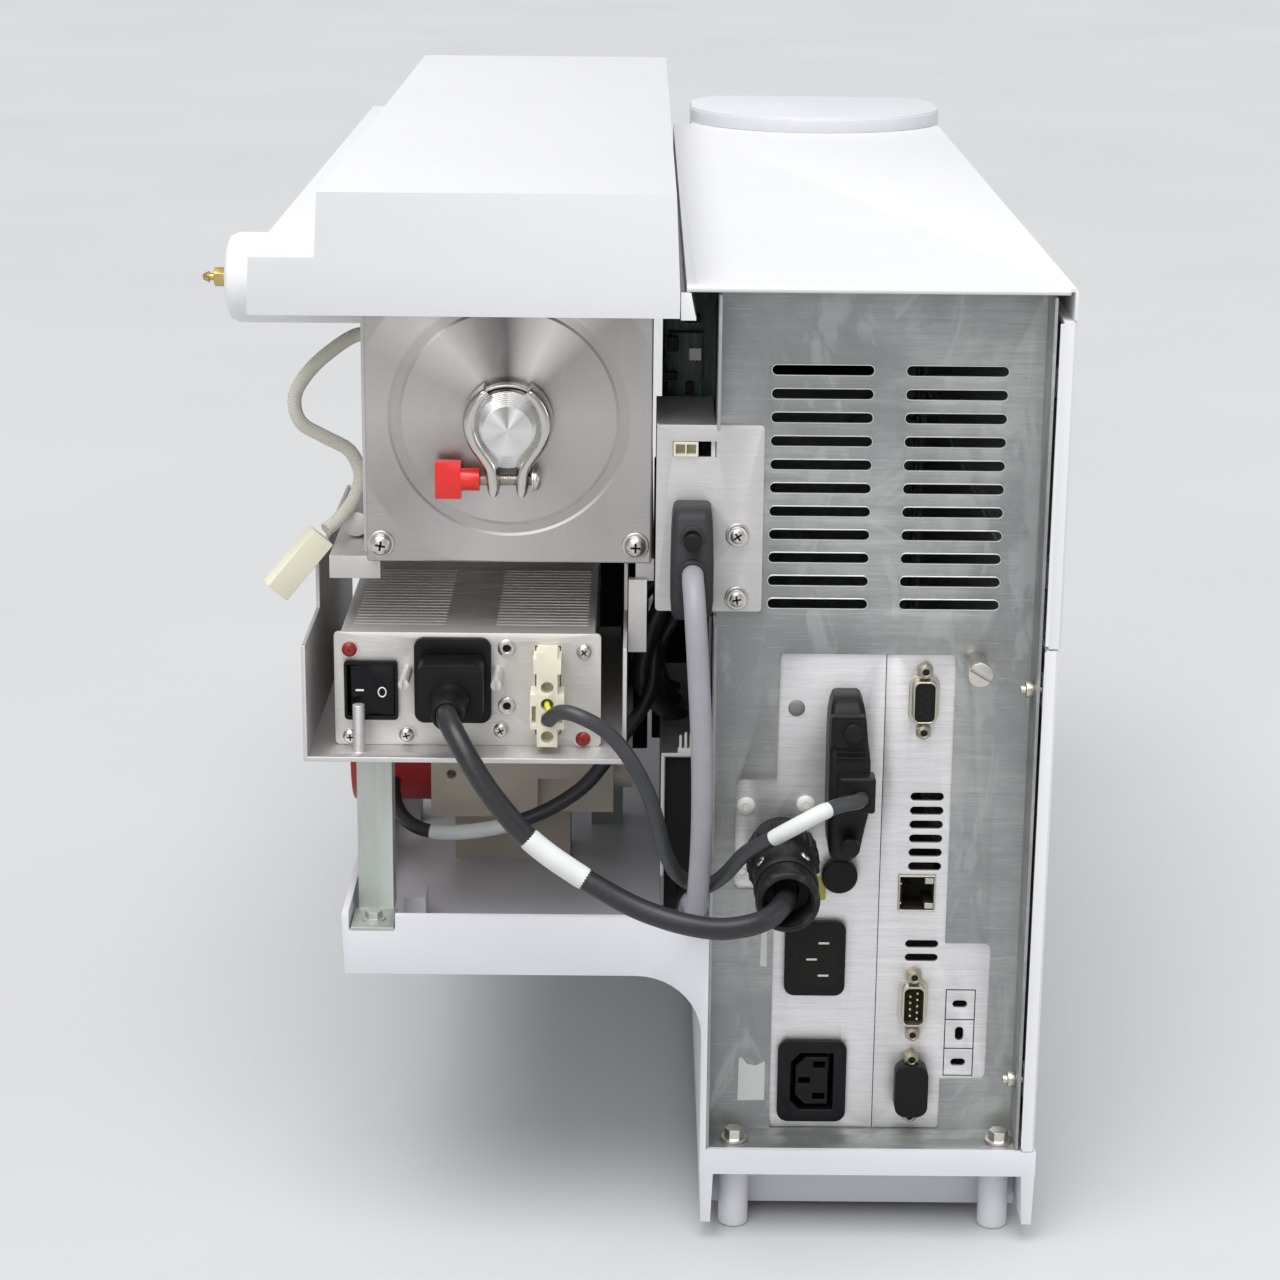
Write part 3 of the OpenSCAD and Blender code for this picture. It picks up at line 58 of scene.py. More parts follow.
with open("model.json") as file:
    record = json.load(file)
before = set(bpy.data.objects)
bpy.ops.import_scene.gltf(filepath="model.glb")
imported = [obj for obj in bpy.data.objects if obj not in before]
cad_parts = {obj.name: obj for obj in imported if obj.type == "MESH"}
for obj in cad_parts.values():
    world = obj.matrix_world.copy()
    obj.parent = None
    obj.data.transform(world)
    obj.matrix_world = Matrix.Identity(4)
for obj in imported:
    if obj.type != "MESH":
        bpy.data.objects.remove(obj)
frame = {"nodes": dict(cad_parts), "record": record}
CAD_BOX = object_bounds()

# the middle of the drawing, whose axes are in millimetres with the service face at y = 0
MIDDLE = Vector((-8.7, 287.5, 0.0))
ROOT = "instrument"


def mm(x, y, z):
    """A point of the drawing, in the frame's metres."""
    return (Vector((x, y, z)) - MIDDLE) / 1000


# ---------------- settings


class SpectrometerSizes(bpy.types.PropertyGroup):
    """Sizes that a user would change."""

    edge: bpy.props.FloatProperty(
        name="Edge", description="How far sheet and moulded edges are eased, against the drawing",
        default=1.0, min=0.2, max=2.0, subtype="FACTOR")
    power_cable: bpy.props.FloatProperty(
        name="Power cable", description="Diameter of the power cable", default=0.0084,
        min=0.004, max=0.012, unit="LENGTH")
    signal_cable: bpy.props.FloatProperty(
        name="Signal cable", description="Diameter of the signal cable", default=0.006,
        min=0.003, max=0.008, unit="LENGTH")
    pump_cable: bpy.props.FloatProperty(
        name="Pump cable", description="Diameter of the pump cable", default=0.0084,
        min=0.004, max=0.012, unit="LENGTH")
    inner_cable: bpy.props.FloatProperty(
        name="Inner cable", description="Diameter of the cable under the tray", default=0.006,
        min=0.003, max=0.008, unit="LENGTH")
    heater_cable: bpy.props.FloatProperty(
        name="Heater cable", description="Diameter of the woven heater lead", default=0.0056,
        min=0.003, max=0.008, unit="LENGTH")


class SpectrometerColours(bpy.types.PropertyGroup):
    """Colours that a user would change."""

    coat: bpy.props.FloatVectorProperty(
        name="Coat", description="Powder coat of the covers and panels",
        default=(0.74, 0.74, 0.755), size=3, min=0, max=1, subtype="COLOR")
    moulding: bpy.props.FloatVectorProperty(
        name="Moulding", description="Plastic of the base", default=(0.66, 0.66, 0.70), size=3,
        min=0, max=1, subtype="COLOR")
    wing: bpy.props.FloatVectorProperty(
        name="Wing nut", description="Plastic of the wing nut", default=(0.70, 0.02, 0.015),
        size=3, min=0, max=1, subtype="COLOR")


# ---------------- shader maths


class Value:
    """A shader socket that does arithmetic; each operator adds its Math node."""

    def __init__(self, finish, socket):
        self.finish = finish
        self.socket = socket

    def maths(self, operation, *values):
        """The result of one Math node."""
        node = self.finish.add("Math", {"operation": operation}, dict(enumerate(values)))
        return Value(self.finish, node.outputs[0])

    def __add__(self, other):
        return self.maths("ADD", self, other)

    def __sub__(self, other):
        return self.maths("SUBTRACT", self, other)

    def __rsub__(self, other):
        return self.maths("SUBTRACT", other, self)

    def __mul__(self, other):
        return self.maths("MULTIPLY", self, other)

    __radd__ = __add__
    __rmul__ = __mul__

    def root(self):
        return self.maths("SQRT", self)

    def wave(self):
        return self.maths("SINE", self)

    def angle(self, along):
        """The angle, from -pi to pi, of a direction with this as its rise."""
        return self.maths("ARCTAN2", self, along)


class Finish:
    """A procedural material: its nodes, and a Principled shader fed at the end."""

    made = {}

    def __init__(self, name):
        material = bpy.data.materials.new(name)
        material.use_nodes = True
        self.tree = material.node_tree
        self.tree.nodes.clear()
        self.shader = self.add("BsdfPrincipled")
        output = self.add("OutputMaterial")
        self.tree.links.new(self.shader.outputs[0], output.inputs[0])
        Finish.made[name] = material

    def add(self, kind, settings=None, inputs=None):
        """Any node: its type, its settings, set first, and its sockets' values or links."""
        node = self.tree.nodes.new("ShaderNode" + kind)
        for key, value in (settings or {}).items():
            if key == "stops":
                ramp = node.color_ramp
                while len(ramp.elements) < len(value):
                    ramp.elements.new(0.5)
                for element, (place, colour) in zip(ramp.elements, value):
                    element.position = place
                    element.color = (*colour, 1.0)
            else:
                setattr(node, key, value)
        for key, value in (inputs or {}).items():
            self.feed(node.inputs[key], value)
        return node

    def feed(self, socket, value):
        if isinstance(value, Value):
            self.tree.links.new(value.socket, socket)
        elif isinstance(value, bpy.types.NodeSocket):
            self.tree.links.new(value, socket)
        elif socket.type == "RGBA" and len(value) == 3:
            socket.default_value = (*value, 1.0)
        else:
            socket.default_value = value

    def axes(self):
        """The object's x, y and z in metres."""
        parts = self.add("SeparateXYZ", inputs={0: self.add("TexCoord").outputs["Object"]})
        return [Value(self, out) for out in parts.outputs]

    def noise(self, scale=1.0, detail=2.0, rough=0.5, stretch=(1, 1, 1), warp=0.0):
        """Noise over the object's metres, stretched first along its axes."""
        here = self.add("TexCoord").outputs["Object"]
        spread = self.add("VectorMath", {"operation": "MULTIPLY"}, {0: here, 1: stretch})
        node = self.add("TexNoise", inputs={
            "Vector": spread.outputs[0], "Scale": scale, "Detail": detail,
            "Roughness": rough, "Distortion": warp})
        return Value(self, node.outputs[0])

    def ramp(self, value, *stops):
        """A colour for each value, from (place, colour) stops."""
        return self.add("ValToRGB", {"stops": stops}, {0: value}).outputs[0]

    def curve(self, value, low, high, to_low=0.0, to_high=1.0):
        """A value carried from one range to another and held inside it."""
        node = self.add("MapRange", {"clamp": True}, {
            0: value, 1: low, 2: high, 3: to_low, 4: to_high})
        return Value(self, node.outputs[0])

    def mix(self, factor, a, b, blend="MIX"):
        """Colour a turned into colour b by a factor."""
        node = self.add("Mix", {"data_type": "RGBA", "blend_type": blend},
                        {0: factor, 6: a, 7: b})
        return node.outputs[2]

    def bump(self, height, depth, strength=1.0, after=None):
        """A normal from a height of 0 to 1 that stands for depth metres."""
        inputs = {"Strength": strength, "Distance": depth, "Height": height}
        if after is not None:
            inputs["Normal"] = after
        return self.add("Bump", inputs=inputs).outputs[0]

    def skin(self, **sockets):
        """Feeds the shader; base_color=... becomes its Base Color, and so on."""
        for key, value in sockets.items():
            label = key.replace("_", " ").title().replace("Ior", "IOR")
            self.feed(self.shader.inputs[label], value)


def tone(colour, k):
    """A colour made lighter or darker."""
    return tuple(min(1.0, c * k) for c in colour)


def powder_coat(name, colour, rough=0.42, grain=1.0):
    """Fine orange peel over sheet metal, with faint handling marks."""
    f = Finish(name)
    peel = f.noise(1400, 2, 0.5)
    cloud = f.noise(9, 3, 0.55)
    rub = f.curve(f.noise(45, 4, 0.6, (1, 0.35, 1)), 0.56, 0.72)
    colours = f.mix(cloud, tone(colour, 0.975), tone(colour, 1.02))
    colours = f.mix(rub * 0.10, colours, tone(colour, 0.86))
    f.skin(base_color=colours, roughness=rough + 0.06 * cloud + 0.08 * rub,
           normal=f.bump(peel, 0.00006, 0.5 * grain), specular_ior_level=0.45)


def moulded(name, colour, rough=0.45, grain=1.0, speck=0.0):
    """Moulded plastic with a spark-eroded grain and a little dust."""
    f = Finish(name)
    grain_map = f.noise(2300, 2, 0.6)
    cloud = f.noise(16, 4, 0.6)
    dust = f.curve(f.noise(150, 6, 0.65), 0.56, 0.75)
    colours = f.mix(cloud, tone(colour, 0.92), tone(colour, 1.06))
    pale = tuple(c + (0.45 - c) * 0.12 for c in colour)
    colours = f.mix(dust * (0.10 + speck), colours, pale)
    f.skin(base_color=colours, roughness=rough + 0.08 * cloud + 0.12 * dust,
           normal=f.bump(grain_map, 0.00005, 0.6 * grain),
           specular_ior_level=0.5 if max(colour) > 0.1 else 0.2)


def brushed(name, colour, along, rough, contrast, cloudy, tint=None):
    """Sheet metal brushed along one axis, with cloudy patches and fine scratches."""
    f = Finish(name)
    long, fine = 110, 2600
    stretch = {"X": (long, fine, fine), "Y": (fine, long, fine), "Z": (fine, fine, long)}[along]
    streak = f.noise(1.0, 3, 0.6, stretch)
    wide = f.noise(1.0, 2, 0.5, tuple(s * 0.18 for s in stretch))
    cloud = f.noise(13, 5, 0.62, warp=0.4)
    scratch = f.curve(f.noise(1.0, 1, 0.5, tuple(s * (0.5 if s == long else 0.9) for s in stretch)),
                      0.66, 0.72)
    mixed = 0.55 * streak + 0.45 * wide
    colours = f.mix(f.curve(mixed, 0.32, 0.68), tone(colour, 1 - 0.16 * contrast),
                    tone(colour, 1 + 0.12 * contrast))
    colours = f.mix(f.curve(cloud, 0.38, 0.62) * cloudy, colours, tint or tone(colour, 0.82))
    patch = f.curve(f.noise(1.0, 4, 0.6, (60, 60, 22), warp=0.8), 0.52, 0.60)
    colours = f.mix(patch * cloudy * 0.45, colours, tone(colour, 1.22))
    colours = f.mix(scratch * 0.35, colours, tone(colour, 1.25))
    f.skin(base_color=colours, metallic=0.8,
           roughness=rough + 0.16 * mixed + 0.10 * cloud,
           normal=f.bump(streak + scratch, 0.000035, 0.7))


def bright_metal(name, colour, rough=0.18, wear=0.5):
    """Plated steel: nearly smooth, with small scuffs and cloudy patches."""
    f = Finish(name)
    cloud = f.noise(120, 4, 0.6)
    scuff = f.curve(f.noise(700, 3, 0.6, (1, 1, 0.3)), 0.55, 0.75)
    colours = f.mix(cloud, tone(colour, 0.86), tone(colour, 1.08))
    colours = f.mix(scuff * 0.4 * wear, colours, tone(colour, 0.6))
    f.skin(base_color=colours, metallic=1.0, roughness=rough + 0.14 * cloud + 0.2 * wear * scuff,
           normal=f.bump(scuff, 0.00001, 0.2))


# painted reflection: how much lighter or darker a turned face is painted round its centre, by share of
# the turn
PAINTED_RAYS = ((0.0, 0.62), (0.10, 0.40), (0.22, 0.66), (0.36, 0.48), (0.50, 0.58), (0.62, 0.38),
        (0.68, 0.98), (0.72, 0.62), (0.755, 0.08), (0.80, 0.30), (0.86, 0.86), (0.93, 0.52),
        (1.0, 0.62))


def turned(name, colour, centre, ring, rough=0.30, band=None, sheen=1.0):
    """A face turned in a lathe: ring marks, and a reflection painted into its colour as light and dark
    wedges round the centre.
    """
    f = Finish(name)
    x, _, z = f.axes()
    dx, dz = x - centre.x, z - centre.z
    radius = (dx * dx + dz * dz).root()
    rings = (radius * 9000).wave() * 0.3 + 0.3 + 0.4 * f.noise(900, 2, 0.5)
    straight = f.noise(1.0, 3, 0.6, (110, 2600, 2600))
    inside = f.curve(radius, ring, ring + 0.0015, 1.0, 0.0)
    marks = inside * rings + (1 - inside) * straight
    around = dz.angle(dx)
    # painted reflection: inside the ring the face is painted lighter and darker by its angle round the
    # centre
    painted_rays = f.ramp(around * (0.5 / math.pi) + 0.5, *((place, (grey,) * 3) for place, grey in PAINTED_RAYS))
    strength = inside * sheen
    stain = f.curve(f.noise(28, 5, 0.62, warp=0.6), 0.5, 0.78)
    smear = f.curve(f.noise(1.0, 4, 0.6, (300, 300, 60)), 0.55, 0.75)
    colours = f.mix(f.curve(marks, 0.3, 0.7), tone(colour, 0.92), tone(colour, 1.06))
    colours = f.mix(strength, colours, painted_rays, "OVERLAY")
    colours = f.mix(stain * 0.25, colours, tone(colour, 0.68))
    colours = f.mix(smear * 0.12, colours, tone(colour, 1.3))
    normal = f.bump(marks, 0.00002, 0.4)
    if band:
        low, high = band
        soft = 0.0006
        rise = f.curve(radius, low - soft, low + soft)
        edge = rise * f.curve(radius, high - soft, high + soft, 1, 0)
        # painted shade: the sunk ring is painted darker as well as bumped
        colours = f.mix(edge * 0.30, colours, tone(colour, 0.74))
        normal = f.bump(1 - edge, 0.0005, 0.8, normal)
    f.skin(base_color=colours, metallic=1.0, roughness=rough + 0.08 * stain + 0.06 * marks,
           normal=normal)


def jacket(name, colour, rough=0.42):
    """A cable jacket: smooth, a little greasy and scuffed."""
    f = Finish(name)
    cloud = f.noise(60, 4, 0.6)
    scuff = f.curve(f.noise(420, 4, 0.65), 0.56, 0.75)
    colours = f.mix(cloud, tone(colour, 0.85), tone(colour, 1.15))
    pale = tuple(c + (0.5 - c) * 0.14 for c in colour)
    colours = f.mix(scuff * 0.25, colours, pale)
    f.skin(base_color=colours, roughness=rough + 0.10 * cloud + 0.12 * scuff,
           normal=f.bump(f.noise(900, 2, 0.5), 0.00004, 0.5), specular_ior_level=0.5)


def woven(name, colour):
    """A braided glass sleeve: two sets of diagonal strands."""
    f = Finish(name)
    x, y, z = f.axes()
    up = ((z * 5200 + x * 3600 + y * 1800).wave() * 0.5 + 0.5)
    down = ((z * 5200 - x * 3600 - y * 1800).wave() * 0.5 + 0.5)
    weave = up * down
    grime = f.noise(90, 4, 0.6)
    colours = f.mix(weave, tone(colour, 0.72), tone(colour, 1.08))
    colours = f.mix(f.curve(grime, 0.5, 0.8) * 0.4, colours, tone(colour, 0.68))
    f.skin(base_color=colours, roughness=0.78, normal=f.bump(weave, 0.0002, 0.8),
           sheen_weight=0.15)


def circuit(name):
    """Solder mask with faint tracks."""
    f = Finish(name)
    tracks = f.curve(f.noise(1.0, 1, 0.3, (700, 700, 90)), 0.48, 0.53)
    colours = f.mix(tracks, (0.008, 0.022, 0.014), (0.02, 0.06, 0.035))
    f.skin(base_color=colours, roughness=0.35 + 0.1 * tracks,
           normal=f.bump(tracks, 0.00004, 0.5))


def make_finishes(colours):
    """Every material, by the name that the pieces ask for."""
    coat, moulding = tuple(colours.coat), tuple(colours.moulding)
    powder_coat("white coat", coat)
    powder_coat("cover coat", tone(coat, 0.93), rough=0.5, grain=1.3)
    moulded("white moulding", moulding, 0.42, 0.7)
    brushed("zinc sheet", (0.425, 0.44, 0.43), "X", 0.36, 1.3, 0.85, (0.27, 0.28, 0.28))
    brushed("zinc post", (0.50, 0.53, 0.50), "Z", 0.42, 0.5, 0.5, (0.42, 0.45, 0.41))
    brushed("brushed plate", (0.78, 0.765, 0.77), "X", 0.36, 1.0, 0.15)
    brushed("bracket sheet", (0.66, 0.645, 0.64), "X", 0.38, 0.45, 0.2)
    brushed("case sheet", (0.68, 0.66, 0.63), "X", 0.40, 0.35, 0.25)
    brushed("rail metal", (0.64, 0.62, 0.61), "Y", 0.38, 0.5, 0.3)
    # in each turned finish the last number sets how strongly its painted reflection shows
    turned("turned plate", (0.44, 0.42, 0.41), mm(-50.0, 0, 337.0), 0.0600, 0.30,
           (0.0418, 0.0462), 0.75)
    turned("turned blank", (0.66, 0.65, 0.64), mm(-50.2, 0, 334.1), 0.02, 0.18, None, 1.0)
    bright_metal("clamp steel", (0.60, 0.58, 0.54), 0.10, 0.3)
    bright_metal("fastener steel", (0.66, 0.63, 0.58), 0.26, 0.7)
    bright_metal("nickel shell", (0.58, 0.55, 0.46), 0.28, 0.6)
    bright_metal("rotor metal", (0.55, 0.55, 0.56), 0.3, 0.3)
    bright_metal("brass", (0.55, 0.42, 0.16), 0.28, 0.8)
    moulded("black plastic", (0.006, 0.006, 0.0065), 0.42, 1.0)
    moulded("switch black", (0.005, 0.005, 0.006), 0.22, 0.3)
    moulded("hood plastic", (0.009, 0.009, 0.0095), 0.40, 1.2)
    moulded("pump hood plastic", (0.035, 0.035, 0.037), 0.42, 1.2)
    moulded("connector plastic", (0.012, 0.012, 0.013), 0.38, 1.6, 0.5)
    powder_coat("duct edge", (0.62, 0.64, 0.62), 0.4)
    bright_metal("vent edge", (0.74, 0.75, 0.74), 0.3, 0.2)
    moulded("cream nylon", (0.76, 0.73, 0.58), 0.38, 0.4)
    moulded("rivet nylon", (0.80, 0.80, 0.76), 0.35, 0.3)
    moulded("red plastic", tuple(colours.wing), 0.25, 0.3)
    powder_coat("red paint", (0.33, 0.012, 0.016), 0.35)
    powder_coat("beige paint", (0.50, 0.45, 0.37), 0.5)
    powder_coat("can white", (0.78, 0.78, 0.80), 0.38)
    # painted shade: a flat near-black for holes, pits, gaps and screw recesses; in the network jack it
    # is also the black socket
    moulded("recess dark", (0.012, 0.011, 0.010), 0.6, 0.5)
    moulded("red dot", (0.24, 0.012, 0.008), 0.3, 0.5)
    moulded("mark white", (0.80, 0.80, 0.78), 0.5, 0.3)
    moulded("mark black", (0.012, 0.012, 0.012), 0.5, 0.3)
    moulded("label pale", (0.58, 0.60, 0.57), 0.38, 0.4)
    moulded("label yellow", (0.42, 0.38, 0.07), 0.42, 0.4)
    moulded("rubber grey", (0.20, 0.20, 0.20), 0.5, 0.8)
    moulded("clip white", (0.70, 0.70, 0.67), 0.35, 0.3)
    moulded("yellow wire", (0.62, 0.58, 0.05), 0.35, 0.3)
    # painted shade: a flat black for the dark sheets that stand for shade in the bay, the duct and the
    # supply's case
    moulded("black foam", (0.014, 0.014, 0.015), 0.8, 3.0)
    bright_metal("gold contact", (0.75, 0.55, 0.20), 0.2, 0.3)
    bright_metal("jack nut", (0.40, 0.36, 0.28), 0.3, 0.8)
    circuit("board green")
    jacket("dark jacket", (0.016, 0.016, 0.019), 0.34)
    jacket("grey jacket", (0.30, 0.295, 0.325), 0.42)
    jacket("slate jacket", (0.040, 0.041, 0.045), 0.36)
    jacket("white sleeve", (0.66, 0.68, 0.66), 0.45)
    woven("woven sleeve", (0.74, 0.72, 0.62))


# ---------------- mesh making


SHARP = math.radians(48)
OUT = (0, -1, 0)  # away from the plates, towards whoever plugs in a cable


def polar(cx, cz, r, degrees):
    """A point on a circle, as x and z."""
    a = math.radians(degrees)
    return cx + r * math.cos(a), cz + r * math.sin(a)


def aimed(way):
    """The rotation that points a light along a direction."""
    return Vector(way).to_track_quat("-Z", "Y").to_euler()


def put(name, data):
    """A new object in the scene."""
    thing = bpy.data.objects.new(name, data)
    bpy.context.scene.collection.objects.link(thing)
    return thing


def circle(part, centre, side, other, radius, sides):
    """A ring of points about a centre."""
    return [part.verts.new(centre + radius * (math.cos(a) * side + math.sin(a) * other))
            for a in (2 * math.pi * i / sides for i in range(sides))]


def walls(part, rings):
    """Faces from each ring to the next; a ring of one point is a tip."""
    for low, high in zip(rings, rings[1:]):
        count = max(len(low), len(high))
        for i in range(count if count > 1 else 0):
            j = (i + 1) % count
            if len(low) == 1:
                corners = (low[0], high[i], high[j])
            elif len(high) == 1:
                corners = (low[i], low[j], high[0])
            else:
                corners = (low[i], low[j], high[j], high[i])
            part.faces.new(corners)


class Form:
    """A mesh put together from eased solids, in millimetres about a point of the drawing."""

    def __init__(self, name, *finishes, about=(0, 0, 0)):
        self.name = name
        self.mesh = bmesh.new()
        self.finishes = finishes
        self.about = Vector(about)

    def join(self, part, ease=0.0, segments=1, finish=0, angle=28):
        """Eases the corners of a part sharper than angle and adds it to the mesh."""
        bmesh.ops.recalc_face_normals(part, faces=part.faces)
        if ease:
            edges = [e for e in part.edges if len(e.link_faces) == 2
                     and e.calc_face_angle(0) > math.radians(angle)]
            bmesh.ops.bevel(part, geom=edges, offset=ease, offset_type="OFFSET",
                            segments=segments, profile=0.5, affect="EDGES", clamp_overlap=True)
        for face in part.faces:
            face.material_index = finish
            face.smooth = True
        for edge in part.edges:
            if len(edge.link_faces) == 2 and edge.calc_face_angle(0) > SHARP:
                edge.smooth = False
        scratch = bpy.data.meshes.new("scratch")
        part.to_mesh(scratch)
        part.free()
        self.mesh.from_mesh(scratch)
        bpy.data.meshes.remove(scratch)

    def box(self, x0, x1, y0, y1, z0, z1, ease=0.3, segments=2, finish=0, turn=None):
        """A block between two corners, which a matrix can turn about its middle."""
        part = bmesh.new()
        bmesh.ops.create_cube(part, size=1)
        size = Vector((x1 - x0, y1 - y0, z1 - z0))
        middle = Vector((x0 + x1, y0 + y1, z0 + z1)) / 2
        bmesh.ops.transform(part, matrix=Matrix.Diagonal((*size, 1)), verts=part.verts)
        if turn is not None:
            bmesh.ops.transform(part, matrix=turn.to_4x4(), verts=part.verts)
        bmesh.ops.translate(part, vec=middle, verts=part.verts)
        self.join(part, ease, segments, finish)

    def loft(self, rings, ease=0.0, segments=2, finish=0, angle=40):
        """A skin over rings of points, closed at both ends."""
        part = bmesh.new()
        made = [[part.verts.new(p) for p in ring] for ring in rings]
        walls(part, made)
        part.faces.new(made[0])
        part.faces.new(list(reversed(made[-1])))
        self.join(part, ease, segments, finish, angle)

    def prism(self, outline, start, length, ease=0.3, segments=2, finish=0, angle=28):
        """An outline drawn in x and z, made length thick along y."""
        self.loft([[(x, y, z) for x, z in outline] for y in (start, start + length)],
                  ease, segments, finish, angle)

    def lathe(self, profile, centre, axis=OUT, sides=32, finish=0):
        """A profile of (radius, height) points turned about an axis through centre."""
        part = bmesh.new()
        axis, centre = Vector(axis).normalized(), Vector(centre)
        side = axis.orthogonal().normalized()
        other = axis.cross(side)
        walls(part, [[part.verts.new(centre + axis * height)] if radius < 1e-6 else
                     circle(part, centre + axis * height, side, other, radius, sides)
                     for radius, height in profile])
        self.join(part, finish=finish)

    def rod(self, start, end, radius, sides=24, ease=0.3, finish=0):
        """A straight round bar between two points, with eased ends."""
        along = Vector(end) - Vector(start)
        length = along.length
        e = min(ease, radius * 0.45, length * 0.45)
        foot = [(0, 0), (radius - e, 0), (radius - e * 0.3, e * 0.3), (radius, e)]
        rim = [(radius - e + e * math.sin(a), length - e + e * math.cos(a))
               for a in (math.pi / 2, math.pi / 4, 0)]
        self.lathe(foot + rim + [(0, length)], start, along, sides, finish)

    def tube(self, points, radius, sides=12, finish=0, close=True):
        """A round wire along points; radius is a number or one for each point."""
        points = [Vector(p) for p in points]
        radii = radius if isinstance(radius, list) else [radius] * len(points)
        part = bmesh.new()
        side = None
        rings = []
        for i, point in enumerate(points):
            ahead = points[min(i + 1, len(points) - 1)] - points[max(i - 1, 0)]
            ahead.normalize()
            side = ahead.orthogonal() if side is None else side - ahead * side.dot(ahead)
            side.normalize()
            rings.append(circle(part, point, side, ahead.cross(side), radii[i], sides))
        walls(part, rings)
        if close:
            part.faces.new(list(reversed(rings[0])))
            part.faces.new(rings[-1])
        self.join(part, finish=finish)

    def screw(self, at, out, radius, height, turn=20, finish=0, dark=1):
        """A pan head standing out from a face, with dark bars that paint the shade of its cross recess.
        """
        at, out = Vector(at), Vector(out).normalized()
        self.lathe([(radius, 0), (radius, height * 0.25), (radius * 0.93, height * 0.6),
                    (radius * 0.72, height * 0.88), (radius * 0.4, height), (0, height * 1.02)],
                   at, out, 32, finish)
        facing = Vector((0, 0, 1)).rotation_difference(out).to_matrix()
        reach, half, deep = radius * 0.46, radius * 0.10, height * 0.19
        x, y, z = at + out * (height * 0.84)
        for angle in (turn, turn + 90):
            spin = facing @ Matrix.Rotation(math.radians(angle), 3, "Z")
            self.box(x - reach, x + reach, y - half, y + half, z - deep, z + deep, 0, 1, dark, spin)

    def done(self, body=ROOT, replaces=()):
        """The finished piece, riding on its body."""
        for vert in self.mesh.verts:
            vert.co = mm(*(vert.co + self.about))
        data = bpy.data.meshes.new(self.name)
        self.mesh.to_mesh(data)
        self.mesh.free()
        for name in self.finishes:
            data.materials.append(Finish.made[name])
        piece = put(self.name, data)
        flat = piece.modifiers.new("Flat faces", "WEIGHTED_NORMAL")
        flat.keep_sharp = True
        flat.weight = 60
        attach(piece, body)
        if replaces:
            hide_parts(*replaces)
        return piece

    def on(self, node):
        """The finished piece, riding on the body of a node."""
        return self.done(body_of(node))

    def instead_of(self, node):
        """The finished piece, standing for a node."""
        return self.done(body_of(node), [node])


def body_of(node):
    """The body, by the record, that a node belongs to."""
    bodies = frame["record"]["behaviour"]["bodies"]
    return next(body for body, members in bodies.items() if node in members)


def eased(node, finish, width=0.3, segments=2):
    """A node's own shape with its edges eased, standing for that node."""
    form = bmesh.new()
    form.from_mesh(frame["nodes"][node].data)
    bmesh.ops.remove_doubles(form, verts=form.verts, dist=2e-6)
    bmesh.ops.dissolve_limit(form, angle_limit=math.radians(0.4), verts=form.verts,
                             edges=form.edges)
    for face in form.faces:
        face.smooth = True
        face.material_index = 0
    data = bpy.data.meshes.new(node + "_eased")
    form.to_mesh(data)
    form.free()
    data.materials.append(Finish.made[finish])
    piece = put(node + "_eased", data)
    bevel = piece.modifiers.new("Eased edges", "BEVEL")
    bevel.width = width / 1000 * bpy.context.scene.spectrometer_sizes.edge
    bevel.segments = segments
    bevel.limit_method = "ANGLE"
    bevel.angle_limit = math.radians(30)
    bevel.harden_normals = True
    bevel.use_clamp_overlap = True
    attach(piece, body_of(node))
    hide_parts(node)
    return piece


# places on the drawing, in millimetres, that several pieces share
PLATE_FACE = 1.2  # y of the two connector plates
SUPPLY_FACE = -5.0  # y of the power supply's face
DSUB_X = 113.1  # the column of nine-way connectors and the network jack
REMOTE_Z, SERIAL_Z = 225.1, (96.4, 60.4)
COLLAR = (58, 163.5)  # x and z of the round connector
PORT = (-50.2, 334.1)  # x and z of the manifold's service port
ROCKER = (-104.1, 229.1)  # x and z of the rocker switch
VENT_COLUMNS, VENT_TOP, VENT_PITCH, VENT_ROWS = (70.0, 121.4), 356.5, 9.25, 11
VENT_LENGTH, VENT_HEIGHT = 39.3, 4.2


def rounded_box(x0, z0, x1, z1, r, steps=5):
    """A rectangle with round corners, as an outline."""
    corners = ((x1 - r, z1 - r, 0), (x0 + r, z1 - r, 90),
               (x0 + r, z0 + r, 180), (x1 - r, z0 + r, 270))
    return [polar(cx, cz, r, start + 90 * k / steps)
            for cx, cz, start in corners for k in range(steps + 1)]


def oblong(x, z, w, h, r):
    """A rounded rectangle about its middle."""
    return rounded_box(x - w / 2, z - h / 2, x + w / 2, z + h / 2, r)


def hood_rings(back, r, levels):
    """A hood's rings with two round front corners; each level is its z, two sides and depth."""
    rings = []
    for z, x0, x1, deep in levels:
        corners = [(cx + r * math.cos(a), back - deep + r - r * math.sin(a), z)
                   for cx, start in ((x1 - r, 0), (x0 + r, 90))
                   for a in (math.radians(start + 18 * k) for k in range(6))]
        rings.append(corners + [(x0, back, z), (x1, back, z)])
    return rings


# ---------------- cables

